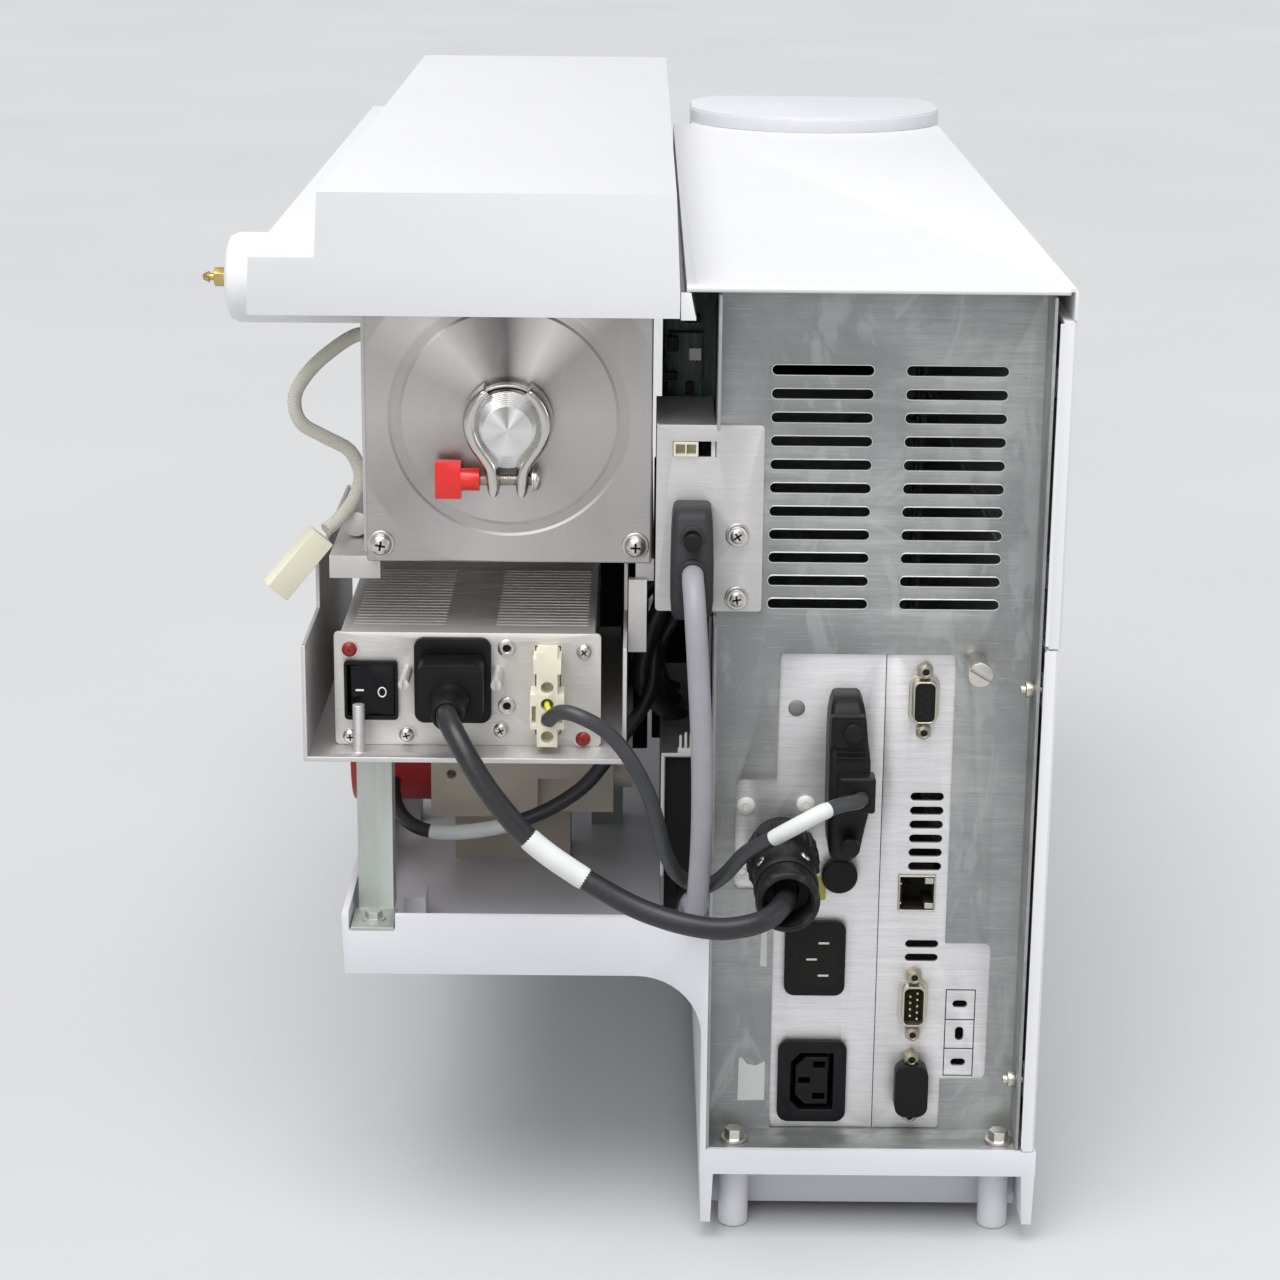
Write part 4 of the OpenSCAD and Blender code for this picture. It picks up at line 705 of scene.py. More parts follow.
# each cable's line, in the drawing's millimetres
POWER_LINE = [
    (58, -55, 163), (56.1, -63, 163), (51.5, -71, 161.3), (44, -76.5, 159.8), (32, -79, 159),
    (19.4, -79, 160.7), (6.8, -77, 163.8), (-3.2, -75, 167.5), (-13.2, -73, 172.5), (-23.3, -71, 178.3),
    (-33.4, -70, 185.2), (-42.2, -69, 192.7), (-49.7, -68, 201.5), (-57.2, -66, 211.3),
    (-63.2, -63, 220.5), (-68.4, -57, 228), (-71.6, -48, 231), (-72.1, -41, 230.8)]
SIGNAL_LINE = [
    (87, -26, 194), (87, -31.2, 194), (84.2, -37.4, 195.2), (78.5, -43, 196), (70.8, -49, 195),
    (62.5, -50, 190.6), (52.2, -46, 183), (42.5, -39, 174.7), (35, -32.5, 163.4), (29, -27, 156.8),
    (25, -21.5, 153.8), (22, -15.5, 153), (19, -14.5, 154.5), (15.4, -18.5, 159.4), (11.2, -24, 170),
    (8.4, -26, 182), (4.8, -27, 194), (-0.8, -28, 205.8), (-6.6, -28, 214.4), (-13.2, -28, 221),
    (-20.2, -28, 225), (-26, -26, 226.6), (-30.6, -23, 225.6), (-34.6, -19.6, 221.4)]
PUMP_LINE = [
    (20.8, -21, 281.5), (20.8, -31, 280.6), (21.3, -39, 275.5), (22, -43, 266), (23, -44.5, 250),
    (24, -45, 234), (24.8, -45, 218), (25.2, -44.5, 202), (25.3, -43, 187), (25, -41, 173),
    (24.5, -38, 161), (24.1, -33.5, 151.5), (23.6, -27, 146.6), (23, -20, 145.8), (22.4, -13, 144.6),
    (21.8, -6, 139.8), (21.4, 1, 132), (21, 9, 126.6), (21, 18, 124.2), (21.2, 30, 123.8),
    (21.6, 60, 123.8), (22, 90, 123.8), (22, 130, 123.8)]
INNER_LINE = [
    (6.6, 62, 238), (7, 60, 225), (6, 56, 213), (2.5, 52, 204.9), (-2.4, 50, 198.1), (-10.1, 48, 186.6),
    (-20.3, 47, 173.3), (-31.5, 47, 164.5), (-42.7, 47, 158.6), (-56.4, 47, 153.9), (-72.4, 47, 151.3),
    (-85.6, 48, 151.3), (-94, 51.5, 153.4), (-99.5, 58, 157), (-102, 66.5, 161.5),
    (-102.6, 72.4, 164.5)]
HEATER_LINE = [
    (-108.2, 45, 361), (-113, 44.8, 360), (-120, 42.5, 356), (-130, 40, 347.5), (-136.5, 38.4, 337),
    (-134.5, 38, 326.5), (-125, 40, 320), (-115.5, 42, 314), (-111.4, 42, 304), (-114, 38, 295),
    (-119, 31, 289), (-124, 26.4, 285.4)]


def rounded(line, steps=4):
    """A smooth line through the points, steps points to a span."""
    points = [Vector(p) for p in line]
    ends = [2 * points[0] - points[1]] + points + [2 * points[-1] - points[-2]]
    smooth = []
    for a, b, c, d in zip(ends, ends[1:], ends[2:], ends[3:]):
        for i in range(steps):
            t = i / steps
            smooth.append(0.5 * ((2 * b) + (c - a) * t + (2 * a - 5 * b + 4 * c - d) * t * t
                                 + (3 * b - a - 3 * c + d) * t * t * t))
    return smooth + [points[-1]]


def sleeve(name, line, start, end, radius):
    """A short white sleeve round a cable, from one share of its line to another."""
    points = rounded(line, 6)
    last = len(points) - 1
    part = points[int(start * last):int(end * last) + 1]
    form = Form(name, "white sleeve")
    ends = [radius * 0.93]
    form.tube(part, ends + [radius] * (len(part) - 2) + ends, 20)
    return form.done()


def cable(name, line, finish, far_end, *carried):
    """A cable along its line, as one tube."""
    diameter = getattr(bpy.context.scene.spectrometer_sizes, name)
    points = rounded(line)
    length = sum((b - a).length for a, b in zip(points, points[1:]))
    form = Form(name.replace("_cable", "_lead"), finish)
    form.tube(points, diameter * 500, 20)
    piece = form.instead_of(name)


# ---------------- operators


FOCAL_LENGTH, FRAME_SIDE = 2983.54, 1280  # both in pixels of the finished frame


class SpectrometerStage(bpy.types.Operator):
    """Sets the camera, the pale floor and the soft lights."""

    bl_idname = "spectrometer.stage"
    bl_label = "Camera, floor and lights"

    def execute(self, context):
        self.camera(context)
        self.floor()
        self.lights(context)
        return {"FINISHED"}

    def camera(self, context):
        tilt, yaw, roll = (math.radians(a) for a in (16.056, 0.069, 0.54))
        ahead = Vector((math.sin(yaw) * math.cos(tilt), math.cos(yaw) * math.cos(tilt),
                        -math.sin(tilt)))
        right = Vector((math.cos(yaw), -math.sin(yaw), 0))
        up = right.cross(ahead)
        rolled_right = math.cos(roll) * right + math.sin(roll) * up
        rolled_up = math.cos(roll) * up - math.sin(roll) * right
        data = bpy.data.cameras.new("Camera")
        data.sensor_width = 36
        data.lens = data.sensor_width * FOCAL_LENGTH / FRAME_SIDE
        data.clip_start, data.clip_end = 0.01, 50
        camera = put("Camera", data)
        camera.matrix_world = Matrix((rolled_right, rolled_up, -ahead)).transposed().to_4x4()
        camera.location = mm(-0.386, -1123.08, 571.85)
        context.scene.camera = camera

    def floor(self):
        f = Finish("pale floor")
        cloud = f.noise(2.2, 4, 0.5)
        colour = f.mix(f.curve(cloud, 0.35, 0.65), (0.545, 0.548, 0.556), (0.565, 0.568, 0.575))
        f.skin(base_color=colour, roughness=0.42 + 0.1 * cloud, specular_ior_level=0.35)
        data = bpy.data.meshes.new("floor")
        data.from_pydata([(-9, -9, 0), (9, -9, 0), (9, 9, 0), (-9, 9, 0)], [], [(0, 1, 2, 3)])
        data.materials.append(Finish.made["pale floor"])
        floor = put("floor", data)
        floor.location.z = CAD_BOX[0][2]

    def lights(self, context):
        scene = context.scene
        scene.view_settings.view_transform = "Standard"
        world = bpy.data.worlds.new("Soft room")
        world.use_nodes = True
        background = world.node_tree.nodes["Background"].inputs
        background[0].default_value = (0.97, 0.98, 1.0, 1)
        background[1].default_value = 0.5
        scene.world = world
        data = bpy.data.lights.new("Ceiling", "SUN")
        data.energy, data.angle = 3.0, math.radians(50)
        put("Ceiling", data).rotation_euler = aimed((0.35, 0.85, -2.2))
        for name, place, aim, size, power in (
                ("Front", (-0.6, -2.4, 1.2), (0, -0.2, 0.2), 1.2, 9),
                ("Side", (2.2, -0.7, 0.9), (0, 0, 0.2), 0.9, 4)):
            data = bpy.data.lights.new(name, "AREA")
            data.size, data.energy = size, power
            light = put(name, data)
            light.location = place
            light.rotation_euler = aimed(Vector(aim) - Vector(place))


class SpectrometerCables(bpy.types.Operator):
    """Makes the five cables from their lines."""

    bl_idname = "spectrometer.cables"
    bl_label = "Cables"

    def execute(self, context):
        power_plug = eased("power_plug", "black plastic", 0.5)
        terminal_plug = eased("terminal_plug", "cream nylon")
        heater_plug = eased("heater_plug", "cream nylon")
        on_signal = sleeve("signal_sleeve", SIGNAL_LINE, 0.165, 0.265, 3.2)
        on_power = sleeve("power_sleeve", POWER_LINE, 0.50, 0.64, 4.4)
        on_inner = sleeve("inner_sleeve", INNER_LINE, 0.58, 0.74, 3.2)
        cable("power_cable", POWER_LINE, "dark jacket", "plug", power_plug, on_power)
        cable("signal_cable", SIGNAL_LINE, "slate jacket", "connector", terminal_plug, on_signal)
        cable("pump_cable", PUMP_LINE, "grey jacket", "object")
        cable("inner_cable", INNER_LINE, "dark jacket", "object", on_inner)
        cable("heater_cable", HEATER_LINE, "woven sleeve", "connector", heater_plug)
        return {"FINISHED"}


class SpectrometerCovers(bpy.types.Operator):
    """Dresses the white covers, panels, base and fascia."""

    bl_idname = "spectrometer.covers"
    bl_label = "Covers and base"

    def execute(self, context):
        for node, finish, width in (
                ("top_cover", "white coat", 0.5), ("manifold_cover", "cover coat", 0.7),
                ("side_panel_upper", "white coat", 0.5), ("side_panel_lower", "white coat", 0.5)):
            eased(node, finish, width, 3)
        for node, z0, z1 in (("side_panel_lower", 41.6, 250.8), ("side_panel_upper", 253.2, 378.6)):
            form = Form(node + "_lip", "white coat")
            form.box(156.9, 158.8, -20.8, -19.4, z0, z1, 0.35)
            form.on(node)
        for node, width in (("front_fascia", 0.8), ("base", 0.6), ("base_feet", 0.8)):
            eased(node, "white moulding", width, 3)
        return {"FINISHED"}


class SpectrometerTower(bpy.types.Operator):
    """Dresses the zinc chassis and its two connector plates."""

    bl_idname = "spectrometer.tower"
    bl_label = "Service side of the tower"

    def execute(self, context):
        for node, finish, width in (
                ("rear_chassis", "zinc sheet", 0.3), ("inner_chassis", "zinc sheet", 0.3),
                ("mains_plate", "brushed plate", 0.2), ("interface_plate", "brushed plate", 0.2),
                ("hex_bolts", "fastener steel", 0.3), ("captive_screw", "fastener steel", 0.35),
                ("ball_studs", "nickel shell", 0.2), ("pump_outlet", "switch black", 0.35),
                ("remote_port", "nickel shell", 0.2), ("serial_ports", "nickel shell", 0.2),
                ("dust_cap", "black plastic", 0.6), ("hood_screws", "hood plastic", 0.4),
                ("power_connector", "connector plastic", 0.4),
                ("coupling_ring", "connector plastic", 0.4),
                ("pump_bracket", "bracket sheet", 0.25), ("dc_connector", "cream nylon", 0.2)):
            eased(node, finish, width)
        return {"FINISHED"}


class SpectrometerSockets(bpy.types.Operator):
    """Fits the inserts, pins, nuts, rivets, marks and labels of the two connector plates."""

    bl_idname = "spectrometer.sockets"
    bl_label = "Inserts and hardware of the plates"

    def execute(self, context):
        self.hood()
        self.pump_hood()
        self.power_inlet()
        self.inserts()
        self.network_jack()
        self.round_connector()
        self.hardware()
        self.vent_rims()
        self.labels()
        return {"FINISHED"}

    def pump_hood(self):
        """The rounded hood of the pump plug."""
        rings = hood_rings(-1.5, 3.6, (
            (305.5, 15, 26.2, 8), (304.6, 13.6, 27.6, 12.5), (301.5, 12.9, 28.3, 16.2),
            (294, 12.6, 28.6, 18.2), (287.5, 12.5, 28.8, 20.6), (284, 12.4, 28.9, 22),
            (270, 12.4, 28.9, 21.6), (264.5, 12.9, 28.4, 19), (261.5, 13.8, 27.4, 15),
            (260.5, 15.2, 26, 11)))
        form = Form("pump_hood_shell", "pump hood plastic", "recess dark")
        form.loft(rings, 0.3)
        form.lathe([(5.6, 2.5), (5.6, -0.6), (5.2, -1.6), (4.5, -2.0), (4.2, -1.8), (4.2, 2)],
                   (20.7, -22.2, 281.9), (0, 1, 0.12), 28)
        for y, z in ((-18.6, 294.5), (-18.9, 271.5)):
            form.lathe([(4.9, 0), (4.9, 1.6), (4.4, 2.0), (3.5, 2.0)], (20.6, y, z), sides=28)
        form.instead_of("pump_hood")

    def power_inlet(self):
        """The recessed mains inlet: a rounded black frame, a keyed pit and three pins."""
        low, high = (v * 1000 + MIDDLE for v in map(Vector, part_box("mains_inlet")))
        form = Form("power_inlet", "switch black", "recess dark", "fastener steel")
        form.prism(rounded_box(low.x, low.z, high.x, high.z, 4.2, 6), low.y, PLATE_FACE - low.y,
                   0.7, 3)
        form.prism(oblong(72.8, 115.6, 17.6, 24.6, 3.2), low.y - 0.05, 0.4, 0.1, 1, 1)
        for x, z in ((76.2, 122.6), (71.4, 115.6), (76.2, 108.6)):
            form.box(x - 2.2, x + 2.2, low.y - 0.35, low.y + 0.2, z - 0.45, z + 0.45, 0.12, 1, 2)
        form.instead_of("mains_inlet")

    def hood(self):
        """The tapered hood of the signal plug, drawn as rings from its top to its foot."""
        rings = hood_rings(PLATE_FACE, 2.6, (
            (229.5, 78, 86.5, 7), (228.6, 76.8, 87.6, 11.5), (226, 75.9, 88.8, 15),
            (221, 75.2, 89.6, 18.2), (214, 75, 90.2, 19.5), (206, 75, 91.2, 24.4),
            (186, 75, 91.2, 24.4), (177, 75.2, 90, 20), (168.5, 75.8, 88.6, 19),
            (164, 76.8, 87.2, 16.5), (161.3, 78, 86, 12), (160.5, 79, 85, 8)))
        form = Form("signal_hood_shell", "hood plastic", "recess dark")
        form.loft(rings, 0.4)
        form.box(78.6, 92.8, -29.8, -20, 187.6, 202.2, 1.2, 3)
        form.box(76.4, 88.4, -21.4, -20.6, 212.2, 223.6, 0.3, 1, 1)
        form.box(76.4, 88.4, -21.4, -17, 223.4, 224.6, 0.4)
        form.box(75.4, 76.6, -21.4, -17, 211.4, 224.4, 0.4)
        form.lathe([(4.7, 0.3), (3.9, 0.3), (3.6, -0.6), (3.6, -5)], (87, -29.8, 194))
        form.lathe([(5.6, 0), (5.6, 0.5), (5.0, 0.7), (4.2, 0.7), (4.0, 0.2), (0, 0.2)],
                   (83.2, -20.6, 218.5))
        form.instead_of("signal_hood")
        form = Form("signal_hood_ribs", "hood plastic")
        for z in (208.5, 210.3, 212.1):
            form.box(77.5, 89, -24.2 + (z - 208.5), -21.5, z - 0.4, z + 0.4, 0.15, 1)
        form.on("signal_hood")

    def inserts(self):
        """The faces, pins or holes and jack nuts of the nine-way connectors."""
        form = Form("socket_inserts", "black plastic", "gold contact", "recess dark", "jack nut")
        for z, male in ((REMOTE_Z, False), (SERIAL_Z[0], True), (SERIAL_Z[1], True)):
            face = PLATE_FACE - (0.9 if male else 5.1)
            form.prism(oblong(DSUB_X, z, 7.6, 15.5, 2.1), face, 0.5, 0.1, 1)
            for column, rows in ((1.42, 5), (-1.42, 4)):
                for i in range(rows):
                    at = (DSUB_X + column, face, z + (i - (rows - 1) / 2) * 2.76)
                    if male:
                        form.rod((at[0], face + 0.2, at[2]), (at[0], PLATE_FACE - 4.9, at[2]),
                                 0.52, 10, 0.25, 1)
                    else:
                        form.lathe([(0.95, 0.02), (0.72, 0.05)], at, sides=16, finish=2)
                        form.lathe([(0.72, 0.05), (0, 0.05)], at, sides=16, finish=2)
            for side in (-1, 1):
                at = z + side * 12.5
                nut = [polar(DSUB_X, at, 3.25, 60 * k + 30) for k in range(6)]
                form.prism(nut, PLATE_FACE - 4.4, 4.4, 0.3, 2, 3)
                top = (DSUB_X, PLATE_FACE - 4.3, at)
                form.lathe([(2.5, 0), (2.5, 1.0), (1.7, 1.3), (1.35, 1.1), (1.35, 0.3)], top,
                           sides=24, finish=3)
                form.lathe([(1.4, 0.95), (0, 0.95)], top, sides=24, finish=2)
        form.on("remote_port")

    def network_jack(self):
        """A thin pressed shell round a black socket, with its latch springs and contacts."""
        form = Form("network_jack", "nickel shell", "recess dark", "gold contact",
                    about=(DSUB_X, PLATE_FACE, 143.7))
        for x0, x1, z0, z1 in ((-7.4, -6.8, -7.6, 7.6), (6.8, 7.4, -7.6, 7.6),
                               (-7.2, 7.2, -7.6, -7.0), (-7.2, 7.2, 7.0, 7.6)):
            form.box(x0, x1, -1.2, 15.8, z0, z1, 0.18)
        form.box(-6.8, 6.8, 12, 12.6, -7, 7, 0, 1, 1)
        for side in (-1, 1):
            for x0, x1, y0, y1, z, half, ease, segments, finish in (
                    (-6.8, 6.8, 0.2, 12, 6.7, 0.35, 0.1, 1, 1),
                    (2.6, 6.8, -0.2, 12, 5.2, 1.6, 0.15, 1, 1),
                    (3.2, 6.6, -1.0, -0.3, 5.3, 1.2, 0.15, 2, 0)):
                form.box(x0, x1, y0, y1, side * z - half, side * z + half, ease, segments, finish)
            spring = ((-6.6, -1.0), (-5.6, 1.4), (-6.4, 4))
            form.tube([(x, y, side * 4.2) for x, y in spring], 0.45, 8)
        for k in range(8):
            contact = ((-6.2, 2.2), (-4.6, 5), (-2.0, 9))
            form.tube([(x, y, 1.02 * k - 3.6) for x, y in contact], 0.2, 6, 2)
        form.instead_of("lan_jack")

    def round_connector(self):
        """Finer ribs on the collar, four clamp screws and two end rings of the backshell."""
        form = Form("collar_ribs", "connector plastic")
        for k in range(24):
            x, z = polar(*COLLAR, 13.3, 15 * k + 7.5)
            form.rod((x, -24.3, z), (x, -8.4, z), 1.15, 10, 0.5)
        form.on("coupling_ring")
        form = Form("backshell_trim", "connector plastic", "fastener steel", "recess dark")
        centre = (COLLAR[0], PLATE_FACE, COLLAR[1])
        form.lathe([(11.6, 46.5), (12.6, 47.0), (12.6, 49.4), (11.9, 49.9), (11.8, 50.2)], centre,
                   sides=48)
        form.lathe([(11.6, 60.6), (12.2, 61.0), (12.45, 62.0), (12.2, 63.6), (11.2, 64.6), (9.9, 64.6),
                    (9.3, 63.9), (9.2, 60)], centre, sides=48)
        for k in range(4):
            x, z = polar(*COLLAR, 11.9, 90 * k + 52)
            form.screw((x, -38.6, z), (x - COLLAR[0], 0, z - COLLAR[1]), 2.1, 1.3, finish=1, dark=2)
        form.on("power_connector")

    def hardware(self):
        """Push rivets, a grey plug, the bracket's screws and the fuse cap."""
        form = Form("plate_rivets", "rivet nylon", "recess dark")
        for x, z in ((43.8, 179.8), (67.7, 180.7), (42.7, 152.5), (67.7, 152.5)):
            form.lathe([(3.75, 0), (3.75, 0.5), (3.2, 1.2), (1.75, 1.6), (1.65, 1.2), (1.45, 1.2),
                        (1.4, 1.75), (0, 1.8)], (x, PLATE_FACE, z))
        form.done()
        form = Form("grey_plug", "rubber grey")
        form.lathe([(3.3, 0), (3.3, 0.5), (2.7, 1.1), (1.2, 1.3), (0, 1.1)], (63, PLATE_FACE, 221))
        form.done()
        form = Form("bracket_screws", "fastener steel", "recess dark")
        for z, turn in ((291.7, 35), (266.4, 10)):
            form.lathe([(4.7, 0), (4.7, 0.6), (4.5, 0.8), (3.95, 0.85)], (38.4, -1.5, z))
            form.lathe([(4.25, 0), (4.2, 0.9)], (38.4, -1.5, z), finish=1)
            form.screw((38.4, -2.3, z), OUT, 3.8, 2.7, turn)
        form.on("pump_bracket")
        form = Form("fuse_cap_face", "black plastic")
        form.lathe([(3.2, -8), (3.2, 0), (7.1, 0.1), (7.2, 0.5), (7.2, 3.7), (6.7, 4.3), (5.9, 4.45),
                    (5.6, 4.3), (0, 4.3)], (81.7, PLATE_FACE, 151.6), sides=48)
        form.instead_of("fuse_cap")

    def vent_rims(self):
        """The bright burred edge round each punched vent."""
        form = Form("vent_rims", "vent edge")
        for x in VENT_COLUMNS:
            for row in range(VENT_ROWS):
                outline = oblong(x, VENT_TOP - VENT_PITCH * row, VENT_LENGTH, VENT_HEIGHT,
                                 VENT_HEIGHT / 2 - 0.01)
                ring = [(a, -0.02, b) for a, b in outline]
                form.tube(ring + ring[:1], 0.27, 6, close=False)
        form.on("rear_chassis")

    def labels(self):
        """Blank and torn labels, and a printed frame without words."""
        form = Form("plate_labels", "label pale", "label yellow", "mark black")
        form.prism(rounded_box(69.8, 140.2, 76.6, 150.4, 1.0), PLATE_FACE - 0.12, 0.12, 0, 1, 1)
        for torn in (((42.6, 52.8), (53.6, 53.0), (53.5, 70.2), (49.6, 68.2), (46.2, 69.0), (44.2, 71.8),
                      (42.9, 71.6)), ((50.6, 112.0), (53.4, 111.6), (53.3, 131.6), (51.2, 132.4))):
            form.prism(torn, -0.14, 0.14, 0)
        for z in (64.0, 75.9, 88.6, 101.6):
            form.box(126.4, 138.6, PLATE_FACE - 0.06, PLATE_FACE, z, z + 0.4, 0, 1, 2)
        for x in (126.4, 138.2):
            form.box(x, x + 0.4, PLATE_FACE - 0.06, PLATE_FACE, 64.0, 102.0, 0, 1, 2)
        form.done()


class SpectrometerVacuum(bpy.types.Operator):
    """Dresses the vacuum manifold, its clamp, its pumps and its frame."""

    bl_idname = "spectrometer.vacuum"
    bl_label = "Vacuum manifold and pumps"

    def execute(self, context):
        self.end_plate()
        self.clamp()
        for node, finish, width, segments in (
                ("vacuum_chamber", "rail metal", 0.5, 2), ("wing_nut", "red plastic", 0.5, 3),
                ("support_frame", "rail metal", 0.4, 2), ("ion_trap", "rail metal", 0.5, 2),
                ("frame_post", "zinc post", 0.3, 2), ("turbo_pump", "red paint", 0.6, 2),
                ("turbo_rotor", "rotor metal", 0.1, 2), ("pump_block", "beige paint", 0.5, 2),
                ("damper_can", "can white", 0.6, 3), ("barb_fitting", "brass", 0.2, 2),
                ("control_board", "board green", 0.1, 2), ("fan_frame", "black plastic", 0.5, 2),
                ("fan_rotor", "black plastic", 0.2, 2)):
            eased(node, finish, width, segments)
        self.board_parts()
        self.harness()
        return {"FINISHED"}

    def end_plate(self):
        """The milled end block with its port, and the socket screws in its corners."""
        form = Form("end_block", "turned plate")
        form.box(-105.5, 5.1, 0, 14, 279.5, 390.1, 0.9, 3)
        form.lathe([(10.6, 0), (10.6, 4.2), (15, 5.4), (15, 7.4), (8, 7.4)],
                   (PORT[0], 0, PORT[1]), sides=64)
        form.instead_of("end_plate")
        form = Form("end_block_screws", "fastener steel", "recess dark")
        for x in (-99.9, -1.1):
            for z in (286.7, 382.9):
                form.lathe([(5.3, 0), (5.3, 0.7), (5.0, 1.0), (4.3, 1.0)], (x, 0, z), sides=36)
                form.lathe([(4.75, 0), (4.7, 1.15)], (x, 0, z), sides=36, finish=1)
                form.screw((x, -1, z), OUT, 4.3, 3.4, x)
        form.instead_of("plate_screws")

    def clamp(self):
        """The blank, the two bent arms, the link over them and the threaded bolt."""
        port = (PORT[0], 0, PORT[1])
        form = Form("blank_face", "turned blank", about=port)
        form.lathe([(14.8, -0.2), (15, 0), (15, 1.7), (14.8, 2.0), (9.6, 4.3), (9.3, 4.4), (4.5, 4.4),
                    (0, 4.4)], (0, -7.6, 0), sides=96)
        form.instead_of("blank_flange")
        form = Form("clamp_arms", "clamp steel", "recess dark", about=port)
        arm = ((-7.6, 15.2, 4.4), (-11.2, 11.6, 5.2), (-13.8, 6.4, 5.6), (-14.3, 0.8, 5.6),
               (-12.4, -5.2, 5.4), (-8.9, -10.4, 5.2), (-6.4, -14.6, 5.2), (-5.6, -19.8, 5.2),
               (-5.4, -24.0, 4.6), (-5.4, -25.4, 3.0))
        section = ((-1, -2.6), (-1, -9.8), (-0.86, -11.9), (-0.5, -13.2), (0.0, -13.6),
                   (0.45, -13.3), (0.8, -12.2), (0.98, -10.2), (1, -2.6))
        widths = rounded([(0, 0, width) for _, _, width in arm], 5)
        for side in (-1, 1):
            line = rounded([(-side * x, 0, z) for x, z, _ in arm], 5)
            rings = []
            for i, point in enumerate(line):
                along = (line[min(i + 1, len(line) - 1)] - line[max(i - 1, 0)]).normalized()
                across = Vector((along.z, 0, -along.x)) * (side * widths[i].z / 2)
                rings.append([(point.x + across.x * share, y, point.z + across.z * share)
                              for share, y in section])
            form.loft(rings, angle=50)
        for radius, y0, y1, finish in ((17.7, -10.9, -5.2, 0), (16.9, -10.4, -5.6, 1)):
            outer = [polar(0, 0, radius, a) for a in range(52, 129, 4)]
            inner = [polar(0, 0, radius - 0.9, a) for a in range(128, 51, -4)]
            form.prism(outer + inner, y0, y1 - y0, 0.25, 2, finish, 40)
        for side in (-1, 1):
            x, z = polar(0, 0, 16.6, 90 + side * 33)
            form.rod((x, -13.4, z), (x, -3.4, z), 1.7, 20, 0.4)
        form.instead_of("clamp_jaws")
        form = Form("clamp_thread", "fastener steel", about=port)
        thread = [place for k in range(52)
                  for place in ((1.95, 0.66 * k + 0.2), (2.4, 0.66 * k + 0.53))]
        for profile, x, sides in (
                ([(0, 0)] + thread + [(0, 34.6)], -24.4, 20),
                ([(2.2, 0), (4.0, 0.1), (4.1, 0.6), (4.0, 1.4), (3.3, 2.3), (2.0, 2.9), (0, 3.1)],
                 9.9, 28),
                ([(2.4, 0), (4.6, 0.1), (4.6, 0.7), (2.4, 0.8)], 9.2, 28)):
            form.lathe(profile, (x, -8, -19.8), (1, 0, 0), sides)
        form.instead_of("clamp_bolt")

    def board_parts(self):
        """Small parts on the control board."""
        form = Form("board_parts", "black plastic", "clip white", "gold contact")
        for x, z, w, h, kind in (
                (12.5, 372, 5, 4, 1), (21, 366, 6, 3, 0), (13, 356, 4, 6, 0), (22, 352, 5, 5, 1),
                (12, 343, 6, 3, 0), (20, 338, 3, 5, 0), (14, 330, 4, 4, 1), (22.5, 322, 4, 7, 0),
                (12, 316, 5, 5, 0), (18, 306, 9, 3, 1), (13, 297, 4, 6, 0), (22, 293, 4, 4, 0)):
            form.box(x - w / 2, x + w / 2, 54.0, 57.8, z - h / 2, z + h / 2, 0.25, 1, kind)
            for leg in (x - w / 3, x, x + w / 3):
                foot = z - h / 2
                form.rod((leg, 56.6, foot - 0.9), (leg, 56.6, foot + 0.3), 0.25, 6, 0.05, 2)
        form.done(body_of("control_board"))

    def harness(self):
        """Black cable loops, the duct behind the tray with a dark sheet for the shade inside it, and
        dark sheets for the shade in the bay.
        """
        form = Form("inner_harness", "dark jacket")
        for line, radius, sides in (
                (((12, 70, 262), (10, 62, 246), (4, 58, 232), (2, 60, 216), (8, 64, 204),
                  (16, 70, 196), (20, 84, 190)), 4.2, 16),
                (((16, 76, 258), (4, 74, 250), (-3, 78, 236), (-2, 84, 218), (6, 90, 206),
                  (17, 92, 200)), 3.4, 14),
                (((17, 60, 244), (9, 66, 226), (12, 72, 208), (17, 80, 200)), 2.6, 12)):
            form.tube(rounded(line), radius, sides)
        form.done()
        form = Form("duct_edges", "duct edge", "black foam", "clip white")
        form.box(10.1, 29.2, 19.3, 20.3, 194.3, 195.7, 0.3)
        form.box(10.0, 11.4, 19.3, 20.3, 143.0, 194.6, 0.3)
        # painted shade: a dark sheet inside the duct stands for the shade there
        form.box(11.7, 26.9, 22.0, 23.0, 142.0, 193.6, 0.2, 1, 1)
        for k in range(4):
            x, top = 17.2 + 2.1 * k, 204.5 - 1.2 * abs(k - 1.5)
            form.box(x, x + 1.1, 20.4, 22.4, 195.6, top, 0.3, 2, 2)
        form.box(16.6, 25.2, 20.2, 22.8, 195.2, 197.4, 0.4, 2, 2)
        form.on("inner_chassis")
        # painted shade: dark sheets at the back and side of the bay stand for the shade there
        form = Form("bay_liner", "black foam")
        form.box(7.0, 28.6, 206.0, 208.6, 141.5, 276.0, 0.8)
        form.box(-72.0, 5.0, 190.0, 192.4, 141.5, 266.0, 0.8)
        form.box(27.0, 28.8, 150.0, 206.0, 196.0, 276.0, 0.6)
        form.done()


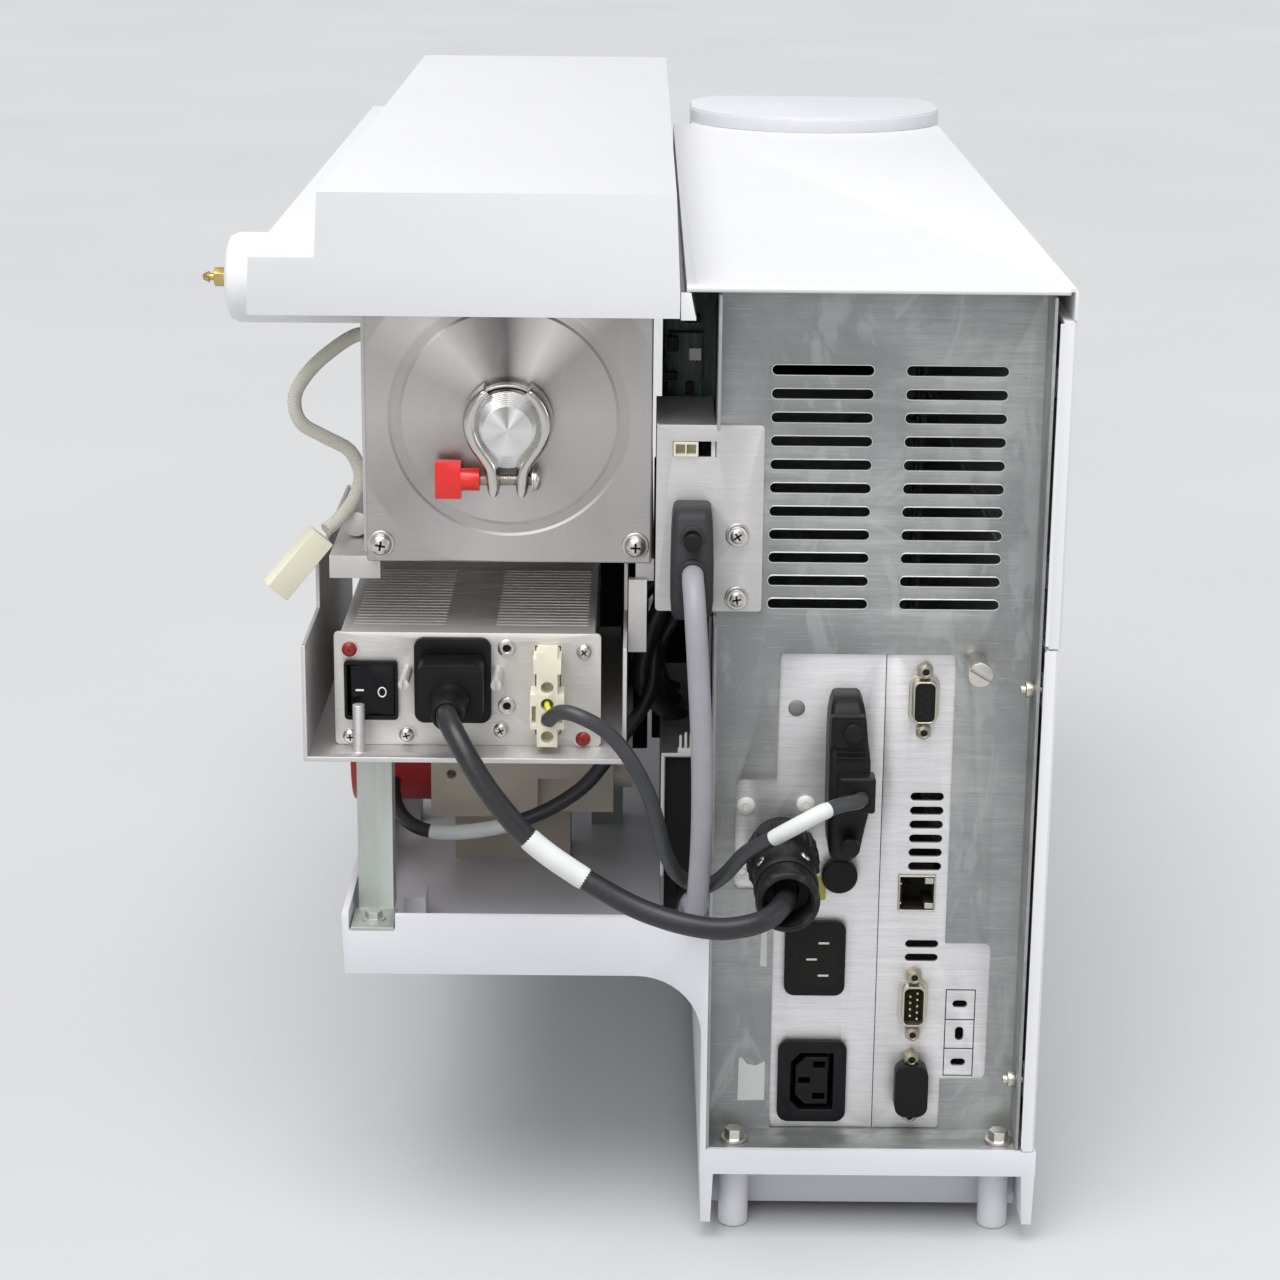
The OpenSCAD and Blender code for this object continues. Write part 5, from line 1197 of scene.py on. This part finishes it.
class SpectrometerSupply(bpy.types.Operator):
    """Dresses the power supply in its tray."""

    bl_idname = "spectrometer.supply"
    bl_label = "Power supply and tray"

    def execute(self, context):
        for node, finish, width in (
                ("psu_tray", "bracket sheet", 0.25), ("psu_case", "case sheet", 0.2),
                ("psu_lid", "case sheet", 0.15), ("rocker_switch", "switch black", 0.3),
                ("switch_bezel", "switch black", 0.3), ("psu_inlet", "black plastic", 0.3)):
            eased(node, finish, width)
        self.front_hardware()
        self.marks()
        return {"FINISHED"}

    def front_hardware(self):
        """Screws, stand-offs, a yellow core, and a dark box under the lid that paints the shade inside
        the case.
        """
        # painted shade: a dark box under the lid stands for the shade inside the case
        form = Form("supply_innards", "black foam")
        form.box(-112.5, -18.0, 6.0, 148.0, 243.0, 249.4, 1.2)
        form.on("psu_case")
        form = Form("yellow_core", "yellow wire")
        form.tube(rounded([(-34.9, -9, 227.0), (-34.9, -16.5, 227.0), (-34.4, -19.5, 226.2),
                           (-33.0, -21.8, 224.4), (-31.8, -22.6, 223.6)]), 1.15)
        form.done()
        form = Form("supply_screws", "fastener steel", "recess dark", "red dot")
        for x, z, turn, height, finish in (
                (-20.8, 245.2, 40, 2.0, 0), (-90.5, 210.6, 15, 2.0, 0), (-53.5, 212.8, 30, 2.0, 0),
                (-112.6, 209.8, 5, 2.0, 0), (-112.4, 245.4, 25, 1.9, 2),
                (-21.1, 209.5, 25, 1.9, 2)):
            form.lathe([(3.7, 0), (3.7, 0.45), (2.9, 0.55)], (x, SUPPLY_FACE, z), sides=28)
            form.screw((x, SUPPLY_FACE - 0.4, z), OUT, 3.0, height, turn, finish, max(finish, 1))
        for x, z in ((-51.0, 246.3), (-51.0, 222.8)):
            form.lathe([(3.5, 0), (3.5, 0.6), (3.0, 1.0), (2.0, 1.1), (1.6, 0.8), (1.6, -0.6)],
                       (x, SUPPLY_FACE, z), sides=28)
            form.lathe([(1.65, -0.3), (0, -0.3)], (x, SUPPLY_FACE, z), sides=20, finish=1)
        form.on("psu_case")

    def marks(self):
        """On and off marks on the rocker, standing just off its two flats."""
        low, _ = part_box("rocker_switch")
        front = low[1] * 1000 + MIDDLE.y
        form = Form("rocker_marks", "mark white", about=(ROCKER[0], front, ROCKER[1]))
        form.box(-5.9, -2.7, 0.30, 0.9, 0.1, 0.75, 0.05, 1)
        turns = (2 * math.pi * k / 24 for k in range(25))
        form.tube([(4.4 + 1.5 * math.cos(a), 1.5, 1.9 * math.sin(a) - 0.6) for a in turns], 0.28, 6)
        form.done(body_of("rocker_switch"))


# ---------------- panel and main

STEPS = (SpectrometerStage, SpectrometerCables, SpectrometerCovers, SpectrometerTower,
         SpectrometerSockets, SpectrometerVacuum, SpectrometerSupply)


class SpectrometerPanel(bpy.types.Panel):
    """Lists the steps and the settings."""

    bl_idname = "VIEW3D_PT_spectrometer"
    bl_label = "Spectrometer"
    bl_space_type = "VIEW_3D"
    bl_region_type = "UI"
    bl_category = "Spectrometer"

    def draw(self, context):
        for step in STEPS:
            self.layout.operator(step.bl_idname)
        for group in (context.scene.spectrometer_sizes, context.scene.spectrometer_colours):
            box = self.layout.box()
            for name in group.bl_rna.properties.keys():
                if name not in {"rna_type", "name"}:
                    box.prop(group, name)


CLASSES = (SpectrometerSizes, SpectrometerColours, *STEPS, SpectrometerPanel)


def register():
    for cls in CLASSES:
        bpy.utils.register_class(cls)
    bpy.types.Scene.spectrometer_sizes = bpy.props.PointerProperty(type=SpectrometerSizes)
    bpy.types.Scene.spectrometer_colours = bpy.props.PointerProperty(type=SpectrometerColours)


def unregister():
    del bpy.types.Scene.spectrometer_sizes
    del bpy.types.Scene.spectrometer_colours
    for cls in reversed(CLASSES):
        bpy.utils.unregister_class(cls)


def main():
    register()
    make_finishes(bpy.context.scene.spectrometer_colours)
    for step in STEPS:
        namespace, name = step.bl_idname.split(".")
        getattr(getattr(bpy.ops, namespace), name)()


if __name__ == "__main__":
    main()
